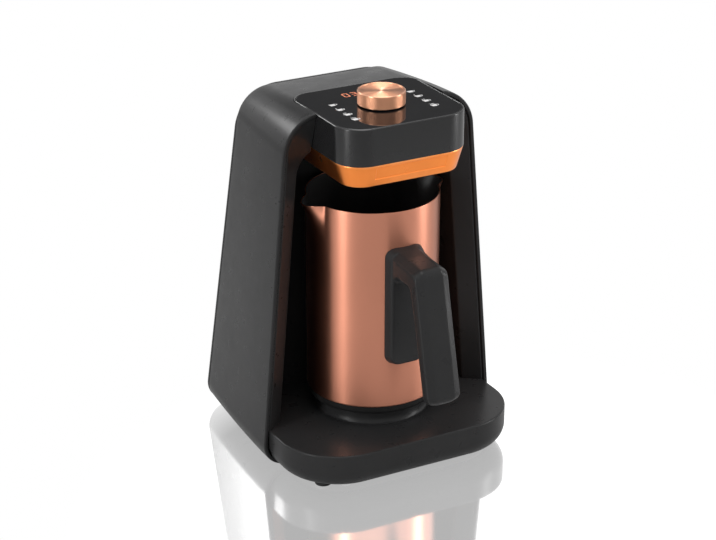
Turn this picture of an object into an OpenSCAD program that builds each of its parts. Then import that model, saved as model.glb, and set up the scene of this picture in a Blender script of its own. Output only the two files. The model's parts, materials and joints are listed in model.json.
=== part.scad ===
// Electric Turkish coffee maker: an arched housing over a low base, a control head with a turning
// and pushing knob, and a lift-off pot with a slanting handle.
// Origin: middle of the footprint, on the table. X to the right, Y to the back, Z up.

/* [Housing] */
// Height of the housing above the table
body_h = 257; // [252:1:262]
// Width of the housing near the table
body_w = 185; // [182:1:190]
// Width of the housing at the top
body_top_w = 143; // [140:1:148]
// Depth of the housing near the table
body_d = 117; // [112:1:120]
// Depth of the housing at the top
body_top_d = 90; // [86:0.5:93]
// Radius of the upper side corners
top_corner_r = 29.5; // [26:0.5:31]
// Radius of the lower side corners, where the walls curl under
low_corner_r = 17; // [15:1:19]
// Wall thickness of the outer shell
shell_wall = 3; // [2.6:0.1:3.2]
// Radius of the rear cover's rounded edge
edge_r = 3.5; // [2.5:0.5:4]
// How far the side walls draw in towards the rear edge
side_draft = 8.8; // [6:0.2:9.6]
// How far the top falls towards the rear edge
top_fall = 6; // [4:0.25:7]
// How much larger the rear cover's upper corners are than the shell's
cover_corner_more = 8; // [5:0.5:9]
// Gap between the table and the curled edge of the shell
shell_lift = 2; // [1.5:0.5:3]

/* [Arch and bay] */
// Width across the slanted face that frames the bay
bezel_w = 13; // [11:0.5:14]
// Depth of the slanted face from front to back
bezel_d = 9; // [7:0.5:11]
// Height of the bay above the base
bay_h = 198; // [195:1:200]
// Radius of the upper corners of the bay
bay_corner_r = 19; // [15:1:21]
// Depth of the bay behind the housing's front
bay_d = 61.5; // [60.5:0.5:63]
// Wall thickness of the inner mouldings
liner_wall = 2; // [1.6:0.2:2.2]

/* [Base] */
// Height of the base's upper face above the table
base_h = 30; // [28:0.5:32]
// How far the base reaches in front of the housing
base_reach = 61.5; // [56:0.5:64]
// Radius of the base's front corners, seen from above
base_corner_r = 45; // [38:1:50]
// Radius of the base's curled lower edge
base_curl_r = 12; // [9:1:13]
// Wall thickness of the base
base_wall = 2.5; // [2:0.25:3]
// Height of the rubber feet below the bottom plate
foot_h = 2.25; // [2:0.25:2.75]
// Diameter of each rubber foot
foot_d = 12; // [10:0.5:14]

/* [Control head] */
// Width of the control head
head_w = 96.4; // [92:0.4:100]
// How far the head reaches in front of the housing
head_reach = 43.7; // [41:0.5:47]
// How far the head runs back into the housing
head_depth_in = 44; // [40:0.5:46]
// Height of the head's black body
head_body_h = 25.8; // [25:0.2:28]
// Height of the copper band below it
band_h = 16; // [14:0.5:17]
// How far the copper band draws in towards its lower edge
band_taper = 4.5; // [3:0.25:6]
// Radius of the head's front corners, seen from above
head_front_r = 20; // [16:1:24]
// Radius of the head's rear corners, seen from above
head_rear_r = 14; // [10:1:18]
// How far the glass lies below the housing's top
glass_drop = 1; // [0.5:0.1:1.5]
// Thickness of the control glass
glass_t = 2; // [1.6:0.2:2.4]

/* [Knob] */
// Diameter of the knob
knob_d = 32.8; // [30:0.4:36]
// Height of the knob
knob_h = 9.2; // [8.6:0.2:11]
// Gap between the knob and the glass
knob_gap = 0.9; // [0.8:0.1:1.4]
// Travel of the knob when it is pushed
knob_travel = 0.6; // [0.4:0.05:0.6]
// How far the knob's axis lies in front of the housing
knob_reach = 1.4; // [0:0.2:4]

/* [Pot] */
// Diameter of the pot below its rim
pot_d = 93.2; // [90:0.4:94]
// Diameter of the pot at its foot
pot_foot_d = 92.2; // [89:0.4:93]
// Height of the copper-coloured wall
pot_h = 145; // [138:1:147]
// Wall thickness of the pot
pot_wall = 1; // [0.8:0.1:1.2]
// Height of the hidden skirt below the pot's floor
skirt_h = 17.5; // [17:0.5:20]
// Distance of the pot's axis behind the housing's front
pot_set_back = 10.7; // [9.5:0.1:11.5]
// How far each pouring lip stands out
lip_out = 8; // [5:0.5:9]
// Half of the angle that each pouring lip takes
lip_half_angle = 18; // [14:1:20]
// Height over which the wall swells into the pouring lip
lip_h = 28; // [20:1:34]
// Height of the raised seat that the pot stands on
seat_h = 10; // [9:0.5:10]
// Height of the pot's black foot ring
foot_ring_h = 5.8; // [5:0.2:6.4]

/* [Handle] */
// Width of the handle
grip_w = 25.2; // [22:0.2:27]
// Thickness of the grip from front to back
grip_t = 14; // [12:0.5:15]
// Angle of the grip, outwards from upright
grip_angle = 13.5; // [10:0.5:15]
// Distance from the pot's axis to the front of the grip at its top
grip_top_reach = 82.4; // [80:0.2:86]
// Height of the handle's top above the table
handle_top = 165.5; // [162:0.5:168]
// Height of the grip's lower end above the table
grip_low = 68.5; // [64:0.5:72]
// Height of the bridge between pot and grip
bridge_t = 19; // [17:0.5:21]
// How far the bridge's top falls towards the grip
bridge_drop = 4.5; // [3:0.25:6]
// Height of the lower end of the pad on the pot
pad_low = 78.5; // [76:0.5:84]
// How far the pad stands out from the pot
pad_out = 5; // [4.6:0.2:6]

/* [Fits] */
// Gap between neighbouring mouldings
gap = 0.2; // [0.15:0.05:0.3]
// Gap round pieces that slide or lift off
free_gap = 0.4; // [0.3:0.05:0.5]
// Radial gap of the turning shaft
run_gap = 0.05; // [0.03:0.01:0.08]

/* [Hidden] */
$fn = 64;
eps = 0.01;

// ---- places along Y: the origin is the middle between the grip's tip and the housing's back
grip_slope = tan(grip_angle);
grip_end_r = 6.5;
grip_top_z = handle_top - 5.5;
grip_end_z = grip_low + grip_end_r * cos(grip_angle) + (grip_t - grip_end_r) * sin(grip_angle);
handle_reach = grip_top_reach + (grip_top_z - grip_end_z) * grip_slope;
back_slope = (body_d - body_top_d) / (body_h - shell_lift);
back_loss = edge_r * back_slope;
overall_d = body_d - back_loss - pot_set_back + handle_reach;
y_back = overall_d / 2 + back_loss;
y_front = y_back - body_d;
pot_y = y_front + pot_set_back;
base_front_y = y_front - base_reach;
head_front_y = y_front - head_reach;
head_rear_y = y_front + head_depth_in;
knob_y = y_front - knob_reach;
grip_front_top_y = pot_y - grip_top_reach;
bay_back_y = y_front + bay_d;

// ---- levels
shell_z0 = shell_lift;
plate_z = foot_h;
plate_t = 2;
base_z0 = plate_z + plate_t;
seat_z = base_h + seat_h;
bay_top_z = base_h + bay_h;
glass_z = body_h - glass_drop;
glass_low_z = glass_z - glass_t;
head_z0 = glass_z - head_body_h;
band_z0 = head_z0 - band_h;
board_t = 1.6;
board_z = glass_low_z - 6 - board_t;
knob_z0 = glass_z + knob_gap;
foot_ring_z = seat_z + 0.1;
pot_z0 = foot_ring_z + foot_ring_h;
pot_rim_z = pot_z0 + pot_h;
pot_floor_z = pot_z0 + skirt_h;

// ---- housing outline in the XZ plane
lean = atan((body_w - body_top_w) / 2 / (body_h - shell_z0));
low_cz = shell_z0 + low_corner_r;
function side_x(z) = body_w / 2 - (z - shell_z0) * tan(lean);
low_cx = side_x(low_cz) - low_corner_r / cos(lean);
back_angle = atan(back_slope);
function back_y(z) = y_back - (z - shell_z0) * back_slope;

function mix(a, b, t) = a + (b - a) * t;
function arc(cx, cy, r, a0, a1, n) =
    [for (i = [0:n]) let (a = a0 + (a1 - a0) * i / n) [cx + r * cos(a), cy + r * sin(a)]];
function mirrored(points) = [for (i = [len(points) - 1:-1:0]) [-points[i][0], points[i][1]]];

// Closed outline of the housing, drawn in by inset, counter-clockwise seen from the front.
// It narrows from the front edge (share 0) to the rear edge (share 1).
function housing_outline(inset, share = 0, more_r = 0) =
    let (t = pow(share, 1.5),
         side = inset + side_draft * t,
         r_low = low_corner_r - inset,
         r_top = top_corner_r + more_r - top_fall * t - inset,
         z_top = body_h - top_corner_r - more_r,
         half = concat(
            arc(side_x(low_cz) - (side + r_low) / cos(lean), low_cz, r_low, -90, lean, 6),
            arc(side_x(z_top) - (side + r_top) / cos(lean), z_top, r_top, lean, 90, 9)))
    concat(half, mirrored(half));

// Arch outline that stands on the base: straight leaning sides and two rounded upper corners
function arch_outline(half_w, z_low, z_top, r) =
    let (cz = z_top - r,
         cx = half_w - (cz - base_h) * tan(lean) - r / cos(lean),
         x_low = half_w - (z_low - base_h) * tan(lean),
         half = concat([[x_low, z_low]], arc(cx, cz, r, lean, 90, 8)))
    concat(half, mirrored(half));
bezel_inset = shell_wall + gap;
bezel_half_w = side_x(base_h) - bezel_inset / cos(lean);
bezel_top_z = body_h - bezel_inset;
bezel_corner_r = top_corner_r - bezel_inset;
bay_half_w = bezel_half_w - bezel_w;

// Rounded plan outline: front corners of one radius, rear corners of another, counter-clockwise from above
function plan_outline(half_w, y_low, y_high, r_front, r_rear) =
    let (right = concat(
        arc(half_w - r_front, y_low + r_front, r_front, -90, 0, 8),
        arc(half_w - r_rear, y_high - r_rear, r_rear, 0, 90, 8)))
    concat(right, mirrored(right));
function head_outline(inset) =
    plan_outline(head_w / 2 - inset, head_front_y + inset, head_rear_y - inset,
                 head_front_r - inset, head_rear_r - inset);

function at_y(points, y) = [for (p = points) [p[0], y, p[1]]];
function on_back(points, depth) = [for (p = points) [p[0], back_y(p[1]) - depth, p[1]]];
function at_z(points, z) = [for (p = points) [p[0], p[1], z]];

// Closed body through a row of rings. Each ring runs counter-clockwise seen from the first ring's side.
module skin(rings) {
    n = len(rings[0]);
    last = len(rings) - 1;
    points = [for (r = rings) for (p = r) p];
    walls = [for (k = [0:last - 1]) for (i = [0:n - 1])
        [k * n + i, k * n + (i + 1) % n, (k + 1) * n + (i + 1) % n, (k + 1) * n + i]];
    first_cap = [for (i = [n - 1:-1:0]) i];
    last_cap = [for (i = [0:n - 1]) last * n + i];
    polyhedron(points = points, faces = concat([first_cap], walls, [last_cap]), convexity = 8);
}

// Local frame on the slanted back: +Z points out of the machine
module on_back_face(x, z) {
    translate([x, back_y(z), z])
        rotate([-90 + back_angle, 0, 0])
            children();
}

module screw(head_r, head_h, shank_r, shank_l) {
    translate([0, 0, -head_h])
        difference() {
            cylinder(r = head_r, h = head_h, $fn = 24);
            translate([0, 0, head_h - 1])
                for (a = [0, 90])
                    rotate(a)
                        cube([head_r * 1.1, 0.8, 2.2], center = true);
        }
    translate([0, 0, -head_h - shank_l])
        cylinder(r = shank_r, h = shank_l + eps, $fn = 20);
}

/* ---------------- housing ---------------- */

cover_depth = 4.8;
narrow_low = side_draft / cos(lean);
// Outline on a surface between the shell's front and rear edge, at a share of the depth
function on_shell(points, share) =
    [for (p = points) [p[0], mix(y_front, back_y(p[1]) - cover_depth, share), p[1]]];
function shell_rings(inset, last_share) =
    [for (s = [0.12, 0.3, 0.5, 0.7, 0.85, last_share]) on_shell(housing_outline(inset, s), s)];
// Plan of the open underside between the curled edges, drawn in by inset
function underside_plan(inset) = [
    [-low_cx + inset, y_front - 1], [low_cx - inset, y_front - 1],
    [low_cx - narrow_low - inset, y_back + 1], [narrow_low - low_cx + inset, y_back + 1]];
module outer_shell() {
    color([0.16, 0.16, 0.165])
        difference() {
            skin(concat(
                [at_y(housing_outline(1), y_front),
                 at_y(housing_outline(0.3), y_front + 0.3),
                 at_y(housing_outline(0), y_front + 1)],
                shell_rings(0, 1)));
            skin(concat(
                [at_y(housing_outline(shell_wall), y_front - 1)],
                shell_rings(shell_wall, 1.02)));
            translate([0, 0, shell_z0 - 1])
                linear_extrude(shell_wall + 2)
                    polygon(underside_plan(0.6));
            // The top is open round the control head
            translate([0, 0, body_h - shell_wall - top_fall - 1])
                linear_extrude(shell_wall + top_fall + 2)
                    offset(delta = free_gap)
                        polygon(head_outline(0));
            translate([-head_w / 2 - free_gap, y_front - 1, body_h - shell_wall - 1])
                cube([head_w + 2 * free_gap, 10, shell_wall + 2]);
        }
}

cover_wall = 2.6;
lip_t = 1.8;
lip_l = 3;
screw_z_low = 62;
screw_z_high = 205;
screw_x_low = 52;
screw_x_high = 44;
cord_x = 45;
cord_z = 27;
cord_hole_r = 6.5;
function cover_screw_places() = [
    [-screw_x_low, screw_z_low], [screw_x_low, screw_z_low],
    [-screw_x_high, screw_z_high], [screw_x_high, screw_z_high]];
cover_head_r = 3;
cover_head_h = 1.8;
function cover_outline(inset) = housing_outline(inset, 1, cover_corner_more);
function lip_outline(inset) = cover_outline(shell_wall + gap + inset);
vent_w = 2.4;
vent_l = 30;
vent_pitch = 6;
module back_cover() {
    color([0.14, 0.14, 0.145])
        difference() {
            union() {
                difference() {
                    skin([
                        on_back(cover_outline(0), cover_depth - gap),
                        on_back(cover_outline(0), edge_r),
                        on_back(cover_outline(edge_r * 0.13), edge_r * 0.5),
                        on_back(cover_outline(edge_r * 0.5), edge_r * 0.13),
                        on_back(cover_outline(edge_r), 0)]);
                    skin([
                        on_back(cover_outline(cover_wall), cover_depth + 1),
                        on_back(cover_outline(cover_wall), cover_wall)]);
                }
                // Lip that locates the cover inside the shell
                difference() {
                    skin([
                        on_back(lip_outline(0), cover_depth + lip_l),
                        on_back(lip_outline(0), cover_wall - 0.5)]);
                    skin([
                        on_back(lip_outline(lip_t), cover_depth + lip_l + 1),
                        on_back(lip_outline(lip_t), 0.5)]);
                    translate([-low_cx, y_front, 0])
                        cube([2 * low_cx, body_d - cover_depth + 0.4, base_z0 + 3]);
                }
            }
            for (p = cover_screw_places())
                on_back_face(p[0], p[1]) {
                    translate([0, 0, -cover_head_h])
                        cylinder(r = cover_head_r + gap, h = 3, $fn = 24);
                    translate([0, 0, -6])
                        cylinder(r = 1.7, h = 7, $fn = 20);
                }
            on_back_face(cord_x, cord_z)
                translate([0, 0, -6])
                    cylinder(r = cord_hole_r, h = 8);
            // Cooling slots, in two groups
            for (z = [100, 150])
                for (i = [-4:4])
                    on_back_face(i * vent_pitch, z)
                        translate([-vent_w / 2, -vent_l / 2, -6])
                            cube([vent_w, vent_l, 8]);
        }
}

module cover_screws() {
    color("silver")
        for (p = cover_screw_places())
            on_back_face(p[0], p[1])
                screw(cover_head_r, cover_head_h - 0.2, 1.5, 9);
}

inlet_flange_r = 8.5;
inlet_bore_r = 3.6;
module cord_inlet() {
    color([0.1, 0.1, 0.1])
        on_back_face(cord_x, cord_z)
            difference() {
                union() {
                    translate([0, 0, -7])
                        cylinder(r = cord_hole_r - 0.1, h = 7);
                    translate([0, 0, -cover_wall - 1.6])
                        cylinder(r = inlet_flange_r, h = 1.6);
                }
                translate([0, 0, -8])
                    cylinder(r = inlet_bore_r, h = 9);
            }
}

boss_r = 3.8;
module bay_liner() {
    color([0.19, 0.19, 0.195])
        difference() {
            union() {
                skin([
                    at_y(arch_outline(bezel_half_w, base_h, bezel_top_z, bezel_corner_r), y_front + 1.2),
                    at_y(arch_outline(bezel_half_w, base_h, bezel_top_z, bezel_corner_r), y_front + 4),
                    at_y(arch_outline(bay_half_w + liner_wall, base_h, bay_top_z + liner_wall,
                                      bay_corner_r + liner_wall), y_front + bezel_d + 5),
                    at_y(arch_outline(bay_half_w + liner_wall, base_h, bay_top_z + liner_wall,
                                      bay_corner_r + liner_wall), bay_back_y + liner_wall)]);
                for (p = cover_screw_places())
                    intersection() {
                        on_back_face(p[0], p[1])
                            translate([0, 0, bay_d - body_d])
                                cylinder(r = boss_r, h = body_d - bay_d - cover_wall - gap);
                        translate([-body_w, bay_back_y + 1, 0])
                            cube([2 * body_w, 100, 300]);
                    }
            }
            // The bay with its funnel-shaped mouth
            skin([
                at_y(arch_outline(bezel_half_w - 1.2, base_h - 1, bezel_top_z - 1.2, bezel_corner_r - 1.2),
                     y_front + 1.2 - eps),
                at_y(arch_outline(bay_half_w, base_h - 1, bay_top_z, bay_corner_r), y_front + bezel_d),
                at_y(arch_outline(bay_half_w, base_h - 1, bay_top_z, bay_corner_r), bay_back_y)]);
            // The control head passes through the arch
            translate([0, 0, min(head_z0, bay_top_z) - 10])
                linear_extrude(body_h - bay_top_z + 40)
                    offset(delta = gap)
                        polygon(head_outline(0));
            for (p = cover_screw_places())
                on_back_face(p[0], p[1])
                    translate([0, 0, -12])
                        cylinder(r = 1.55, h = 14, $fn = 20);
        }
}

/* ---------------- base ---------------- */

base_half_w = side_x(base_h) - shell_wall - 0.3;
base_rear_y = bay_back_y + liner_wall;
tray_share = (bay_d + liner_wall) / (back_y(base_h) - cover_depth - y_front);
tray_draft = side_draft * pow(tray_share, 1.5) + 0.3;
// Half width free inside the shell at a height, clear of its curled corner and of the edge below
shell_clear = 0.35;
function inside_shell(z) =
    let (r = low_corner_r - shell_wall - shell_clear,
         down = low_cz - z)
    down <= 0 ? side_x(z) - shell_wall - shell_clear
    : down < r ? low_cx + sqrt(r * r - down * down)
    : low_cx - 2;
function curl_z(a, inset) = base_z0 + inset + (base_curl_r - inset) * (1 - sin(a));
// How far the curl draws in behind the housing's front, so that it lies inside the shell
function curl_in(a) = max(0, base_half_w - base_curl_r * (1 - cos(a)) - inside_shell(curl_z(a, 0)));
// Plan outline of the base drawn in by inset. Its hidden rear part stays inside the shell.
function base_plan(inset, low_more = 0) =
    let (right = concat(
        arc(base_half_w - base_corner_r, base_front_y + base_corner_r, base_corner_r - inset, -90, 0, 8),
        [[base_half_w - inset, y_front - 1.4], [base_half_w - inset - low_more, y_front - 0.3],
         [base_half_w - inset - low_more, y_front + 8],
         [base_half_w - inset - low_more - tray_draft, y_front + 14],
         [base_half_w - inset - low_more - tray_draft, base_rear_y]]))
    concat(right, mirrored(right));
module base_solid(inset) {
    // Upper rim with a small chamfer, straight side, then the curl under the edge
    curl = [for (a = [0:22.5:90])
        at_z(base_plan(inset + base_curl_r * (1 - cos(a)), curl_in(a)), curl_z(a, inset))];
    skin(concat([
        at_z(base_plan(inset + 0.8), base_h - inset),
        at_z(base_plan(inset), base_h - inset - 0.8)],
        curl));
}
seat_r = 41;
seat_hole_r = 34;
plate_half_w = low_cx - 1;
function base_boss_places() = [
    for (sx = [-1, 1])
        for (p = [[25, base_front_y + 22], [7, y_front + 12], [13, base_rear_y - 9]])
            [sx * (plate_half_w - p[0]), p[1]]];
module base_tray() {
    color([0.15, 0.15, 0.155])
        difference() {
            union() {
                difference() {
                    base_solid(0);
                    difference() {
                        base_solid(base_wall);
                        translate([-200, base_rear_y - base_wall, -1])
                            cube([400, 10, 60]);
                    }
                    // Open underside
                    translate([0, 0, base_z0 - 1])
                        linear_extrude(base_wall + 1.5)
                            polygon(base_plan(base_curl_r + base_wall + 0.6, curl_in(90)));
                }
                for (p = base_boss_places())
                    translate([p[0], p[1], base_z0])
                        cylinder(r = boss_r, h = base_h - base_wall - base_z0 + 0.5);
            }
            translate([0, pot_y, base_h - base_wall - 1])
                cylinder(r = seat_hole_r, h = base_wall + 2);
            for (p = base_boss_places())
                translate([p[0], p[1], base_z0 - 1])
                    cylinder(r = 1.6, h = 13, $fn = 20);
            // Room for the stems of the feet
            for (p = foot_places())
                translate([p[0], p[1], base_z0 - 1])
                    cylinder(r = foot_stem_r + 0.6, h = base_wall + 1.7, $fn = 32);
        }
}

foot_x = plate_half_w - 10;
function foot_places() = [
    [-foot_x, base_front_y + 27], [foot_x, base_front_y + 27],
    [12 - foot_x, y_back - 18], [foot_x - 12, y_back - 18]];
foot_stem_r = 2.5;
plate_inset = base_curl_r + 0.9;
plate_rear_y = y_back - cover_depth - 0.3;
function plate_plan() =
    let (r = base_corner_r - plate_inset,
         right = concat(
            arc(plate_half_w - r, base_front_y + plate_inset + r, r, -90, 0, 8),
            [[plate_half_w, y_front - 2], [plate_half_w - narrow_low, plate_rear_y]]))
    concat(right, mirrored(right));
module base_plate() {
    color([0.12, 0.12, 0.12])
        difference() {
            union() {
                translate([0, 0, plate_z])
                    linear_extrude(plate_t)
                        polygon(plate_plan());
                for (p = board_places())
                    translate([p[0], p[1], plate_z + plate_t - eps])
                        cylinder(r = 3, h = power_board_z - plate_z - plate_t);
            }
            for (p = base_boss_places())
                translate([p[0], p[1], plate_z - 1]) {
                    cylinder(r = 1.8, h = 5, $fn = 20);
                    cylinder(r = 3.4, h = 1 + 1.2, $fn = 24);
                }
            for (p = foot_places())
                translate([p[0], p[1], plate_z - 1])
                    cylinder(r = foot_stem_r + 0.1, h = 5, $fn = 24);
            for (p = board_places())
                translate([p[0], p[1], plate_z - 1])
                    cylinder(r = 1.3, h = 12, $fn = 20);
            // Drain and cooling slots below the seat
            for (i = [-4:4])
                translate([i * 7 - 1.25, pot_y - 14, plate_z - 1])
                    cube([2.5, 28, plate_t + 2]);
        }
}

module rubber_feet() {
    color([0.05, 0.05, 0.05])
        for (p = foot_places())
            translate([p[0], p[1], 0]) {
                cylinder(r1 = foot_d / 2 - 0.6, r2 = foot_d / 2, h = 0.6);
                translate([0, 0, 0.6])
                    cylinder(r = foot_d / 2, h = foot_h - 0.6);
                translate([0, 0, foot_h - eps])
                    cylinder(r = foot_stem_r, h = plate_t + 1.4, $fn = 24);
            }
}

module base_screws() {
    color("silver")
        for (p = base_boss_places())
            translate([p[0], p[1], plate_z + 1.2])
                rotate([180, 0, 0])
                    translate([0, 0, 0.9])
                        screw(3, 0.9, 1.5, 10);
}

/* ---------------- electrics in the base ---------------- */

power_board_z = base_z0 + 5;
power_w = 74;
power_d = 34;
power_y = base_front_y + 34;
function board_places() = [
    for (sx = [-1, 1]) for (sy = [-1, 1])
        [sx * (power_w / 2 - 4), power_y + sy * (power_d / 2 - 4)]];
module power_board() {
    color([0.1, 0.35, 0.15])
        difference() {
            translate([-power_w / 2, power_y - power_d / 2, power_board_z])
                cube([power_w, power_d, board_t]);
            for (p = board_places())
                translate([p[0], p[1], power_board_z - 1])
                    cylinder(r = 1.7, h = 4, $fn = 20);
        }
}
module mains_relay() {
    color([0.15, 0.3, 0.6])
        translate([-28, power_y - 8, power_board_z + board_t])
            cube([19, 15.5, 14]);
}
module supply_transformer() {
    color([0.75, 0.65, 0.3]) {
        translate([6, power_y - 7, power_board_z + board_t])
            cube([16, 14, 3]);
        translate([7.5, power_y - 5.5, power_board_z + board_t + 3 - eps])
            cube([13, 11, 9]);
        translate([6, power_y - 7, power_board_z + board_t + 12 - 2 * eps])
            cube([16, 14, 1.6]);
    }
}
module power_screws() {
    color("silver")
        for (p = board_places())
            translate([p[0], p[1], power_board_z + board_t + 1.6])
                screw(2.8, 1.6, 1.2, 6);
}

/* ---------------- seat of the pot ---------------- */

socket_r = 13;
seat_top_r = 38.5;
module pot_seat() {
    color([0.1, 0.1, 0.1])
        translate([0, pot_y, 0])
            rotate_extrude($fn = 96)
                polygon(concat(
                    [[socket_r + gap, seat_z]],
                    [[seat_top_r - 1, seat_z], [seat_top_r, seat_z - 1]],
                    // Hollow curve from the seat's wall out to its foot on the base
                    [for (a = [0:15:75])
                        [seat_r - (seat_r - seat_top_r) * cos(a), base_h + (seat_h - 1) * (1 - sin(a)) * 0.55]],
                    [[seat_r, base_h], [seat_hole_r - gap, base_h], [seat_hole_r - gap, base_h - base_wall],
                     [seat_hole_r - 2.5, base_h - base_wall], [seat_hole_r - 2.5, seat_z - 3],
                     [socket_r + gap, seat_z - 3]]));
}
connector_low_z = base_h - 8;
socket_top_z = seat_z + 6;
module seat_connector() {
    color([0.08, 0.08, 0.08])
        translate([0, pot_y, 0])
            rotate_extrude()
                polygon([
                    [2.2, connector_low_z], [socket_r + 4, connector_low_z],
                    [socket_r + 4, seat_z - 3.1], [socket_r, seat_z - 3.1],
                    [socket_r, socket_top_z - 1], [socket_r - 1, socket_top_z],
                    [10.2, socket_top_z], [10.2, seat_z - 2], [8.8, seat_z - 2], [8.8, socket_top_z],
                    [6.2, socket_top_z], [6.2, seat_z - 2], [4.8, seat_z - 2], [4.8, socket_top_z],
                    [2.2, socket_top_z]]);
}
module seat_contacts() {
    color([0.8, 0.6, 0.25])
        translate([0, pot_y, 0]) {
            for (r = [9.9, 5.9])
                translate([0, 0, seat_z - 2])
                    difference() {
                        cylinder(r = r, h = 6);
                        translate([0, 0, -1])
                            cylinder(r = r - 0.8, h = 8);
                    }
            translate([0, 0, connector_low_z])
                cylinder(r = 2, h = socket_top_z - connector_low_z, $fn = 32);
        }
}

/* ---------------- control head ---------------- */

head_wall = 2.2;
ledge_w = 1.8;
glass_inset = 1.4;
flange_w = 5;
flange_t = 1.8;
flange_z = bay_top_z + liner_wall + 0.05;
head_post_x = 34;
head_post_front = head_front_y + 16;
head_post_rear = head_rear_y - 13;
function head_posts() = [
    for (sx = [-1, 1]) for (y = [head_post_front, head_post_rear]) [sx * head_post_x, y]];
module head_housing() {
    color([0.09, 0.09, 0.095])
        difference() {
            union() {
                translate([0, 0, head_z0])
                    linear_extrude(glass_z - head_z0)
                        polygon(head_outline(0));
                // Collar that rests on the roof of the bay and reaches up to the body
                intersection() {
                    translate([0, 0, flange_z])
                        linear_extrude(max(flange_t, head_z0 + flange_t - flange_z))
                            offset(delta = flange_w)
                                polygon(head_outline(0));
                    translate([-100, y_front + bezel_d + 6, 0])
                        cube([200, bay_back_y - y_front - bezel_d - 6, 300]);
                }
            }
            translate([0, 0, head_z0 - 1])
                linear_extrude(glass_low_z - 2 - head_z0 + 1)
                    polygon(head_outline(head_wall));
            // Room for the copper band where the collar reaches below the body
            translate([0, 0, min(head_z0, flange_z) - 1])
                linear_extrude(head_z0 - min(head_z0, flange_z) + 1)
                    offset(delta = gap)
                        polygon(head_outline(0));
            translate([0, 0, glass_low_z - 3])
                linear_extrude(10)
                    polygon(head_outline(head_wall + ledge_w));
            translate([0, 0, glass_low_z])
                linear_extrude(10)
                    polygon(head_outline(glass_inset));
        }
}

band_top_inset = 0.2;
band_wall = 1.6;
floor_t = 2;
module copper_band() {
    color([0.85, 0.52, 0.35])
        difference() {
            skin([
                at_z(head_outline(band_top_inset), head_z0 - gap),
                at_z(head_outline(band_taper + band_top_inset), band_z0)]);
            skin([
                at_z(head_outline(band_top_inset + band_wall - 0.1), head_z0 + 0.1),
                at_z(head_outline(band_taper + band_top_inset + band_wall + 0.1), band_z0 - 0.2)]);
        }
}

sensor_r = 7;
sensor_window_r = 5;
module head_floor() {
    post_r = 3.4;
    color([0.1, 0.1, 0.1])
        difference() {
            union() {
                translate([0, 0, band_z0 + 0.6])
                    linear_extrude(floor_t)
                        polygon(head_outline(band_taper + band_top_inset + band_wall + 0.25));
                for (p = head_posts())
                    translate([p[0], p[1], band_z0 + 0.6])
                        cylinder(r = post_r, h = board_z - band_z0 - 0.6);
                // Collar of the boil sensor
                translate([0, pot_y, band_z0 + 0.6])
                    cylinder(r = sensor_r + 2, h = 8);
            }
            translate([0, pot_y, band_z0 + 0.6 + floor_t])
                cylinder(r = sensor_r + 0.1, h = 8);
            translate([0, pot_y, band_z0 - 1])
                cylinder(r = sensor_window_r + 0.1, h = 6);
            for (p = head_posts()) {
                translate([p[0], p[1], board_z - 9])
                    cylinder(r = 1.3, h = 12, $fn = 20);
                translate([p[0], p[1], band_z0 - 1])
                    cylinder(r = 1.6, h = 14, $fn = 20);
            }
            // Steam vents on both sides of the sensor
            for (sx = [-1, 1])
                for (i = [0:4])
                    translate([sx * (16 + i * 4) - 0.9, pot_y - 12, band_z0 - 1])
                        cube([1.8, 24, 6]);
        }
}
module head_screws() {
    color("silver")
        for (p = head_posts())
            translate([p[0], p[1], band_z0 - 0.5])
                rotate([180, 0, 0])
                    screw(2.9, 1.1, 1.5, 9);
}

module control_glass() {
    color([0.03, 0.03, 0.035])
        difference() {
            translate([0, 0, glass_low_z])
                linear_extrude(glass_t)
                    polygon(head_outline(glass_inset + 0.1));
            translate([0, knob_y, glass_low_z - 1])
                cylinder(r = bushing_r + 0.3, h = glass_t + 2);
        }
}

board_top = board_z + board_t;
display_w = 27;
display_d = 11;
display_y = knob_y + 27;
module display_module() {
    color([0.2, 0.05, 0.04])
        translate([-display_w / 2, display_y - display_d / 2, board_top])
            cube([display_w, display_d, glass_low_z - board_top]);
}

icon_x = 30;
icon_pitch = 10.8;
icon_y = knob_y + 13.8;
module touch_springs() {
    color([0.75, 0.75, 0.7])
        for (sx = [-1, 1])
            for (i = [0:3])
                translate([sx * icon_x, icon_y - i * icon_pitch, board_top])
                    difference() {
                        cylinder(r = 3, h = glass_low_z - board_top, $fn = 24);
                        translate([0, 0, 0.8])
                            cylinder(r = 2.3, h = glass_low_z - board_top - 1.6, $fn = 24);
                    }
}

module control_board() {
    color([0.1, 0.35, 0.15])
        difference() {
            translate([0, 0, board_z])
                linear_extrude(board_t)
                    polygon(plan_outline(40, head_front_y + 8, head_rear_y - 6, 8, 6));
            for (p = head_posts())
                translate([p[0], p[1], board_z - 1])
                    cylinder(r = 1.7, h = 4, $fn = 20);
        }
}
module board_screws() {
    color("silver")
        for (p = head_posts())
            translate([p[0], p[1], board_top + 1.5])
                screw(2.6, 1.5, 1.2, 7);
}

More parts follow.
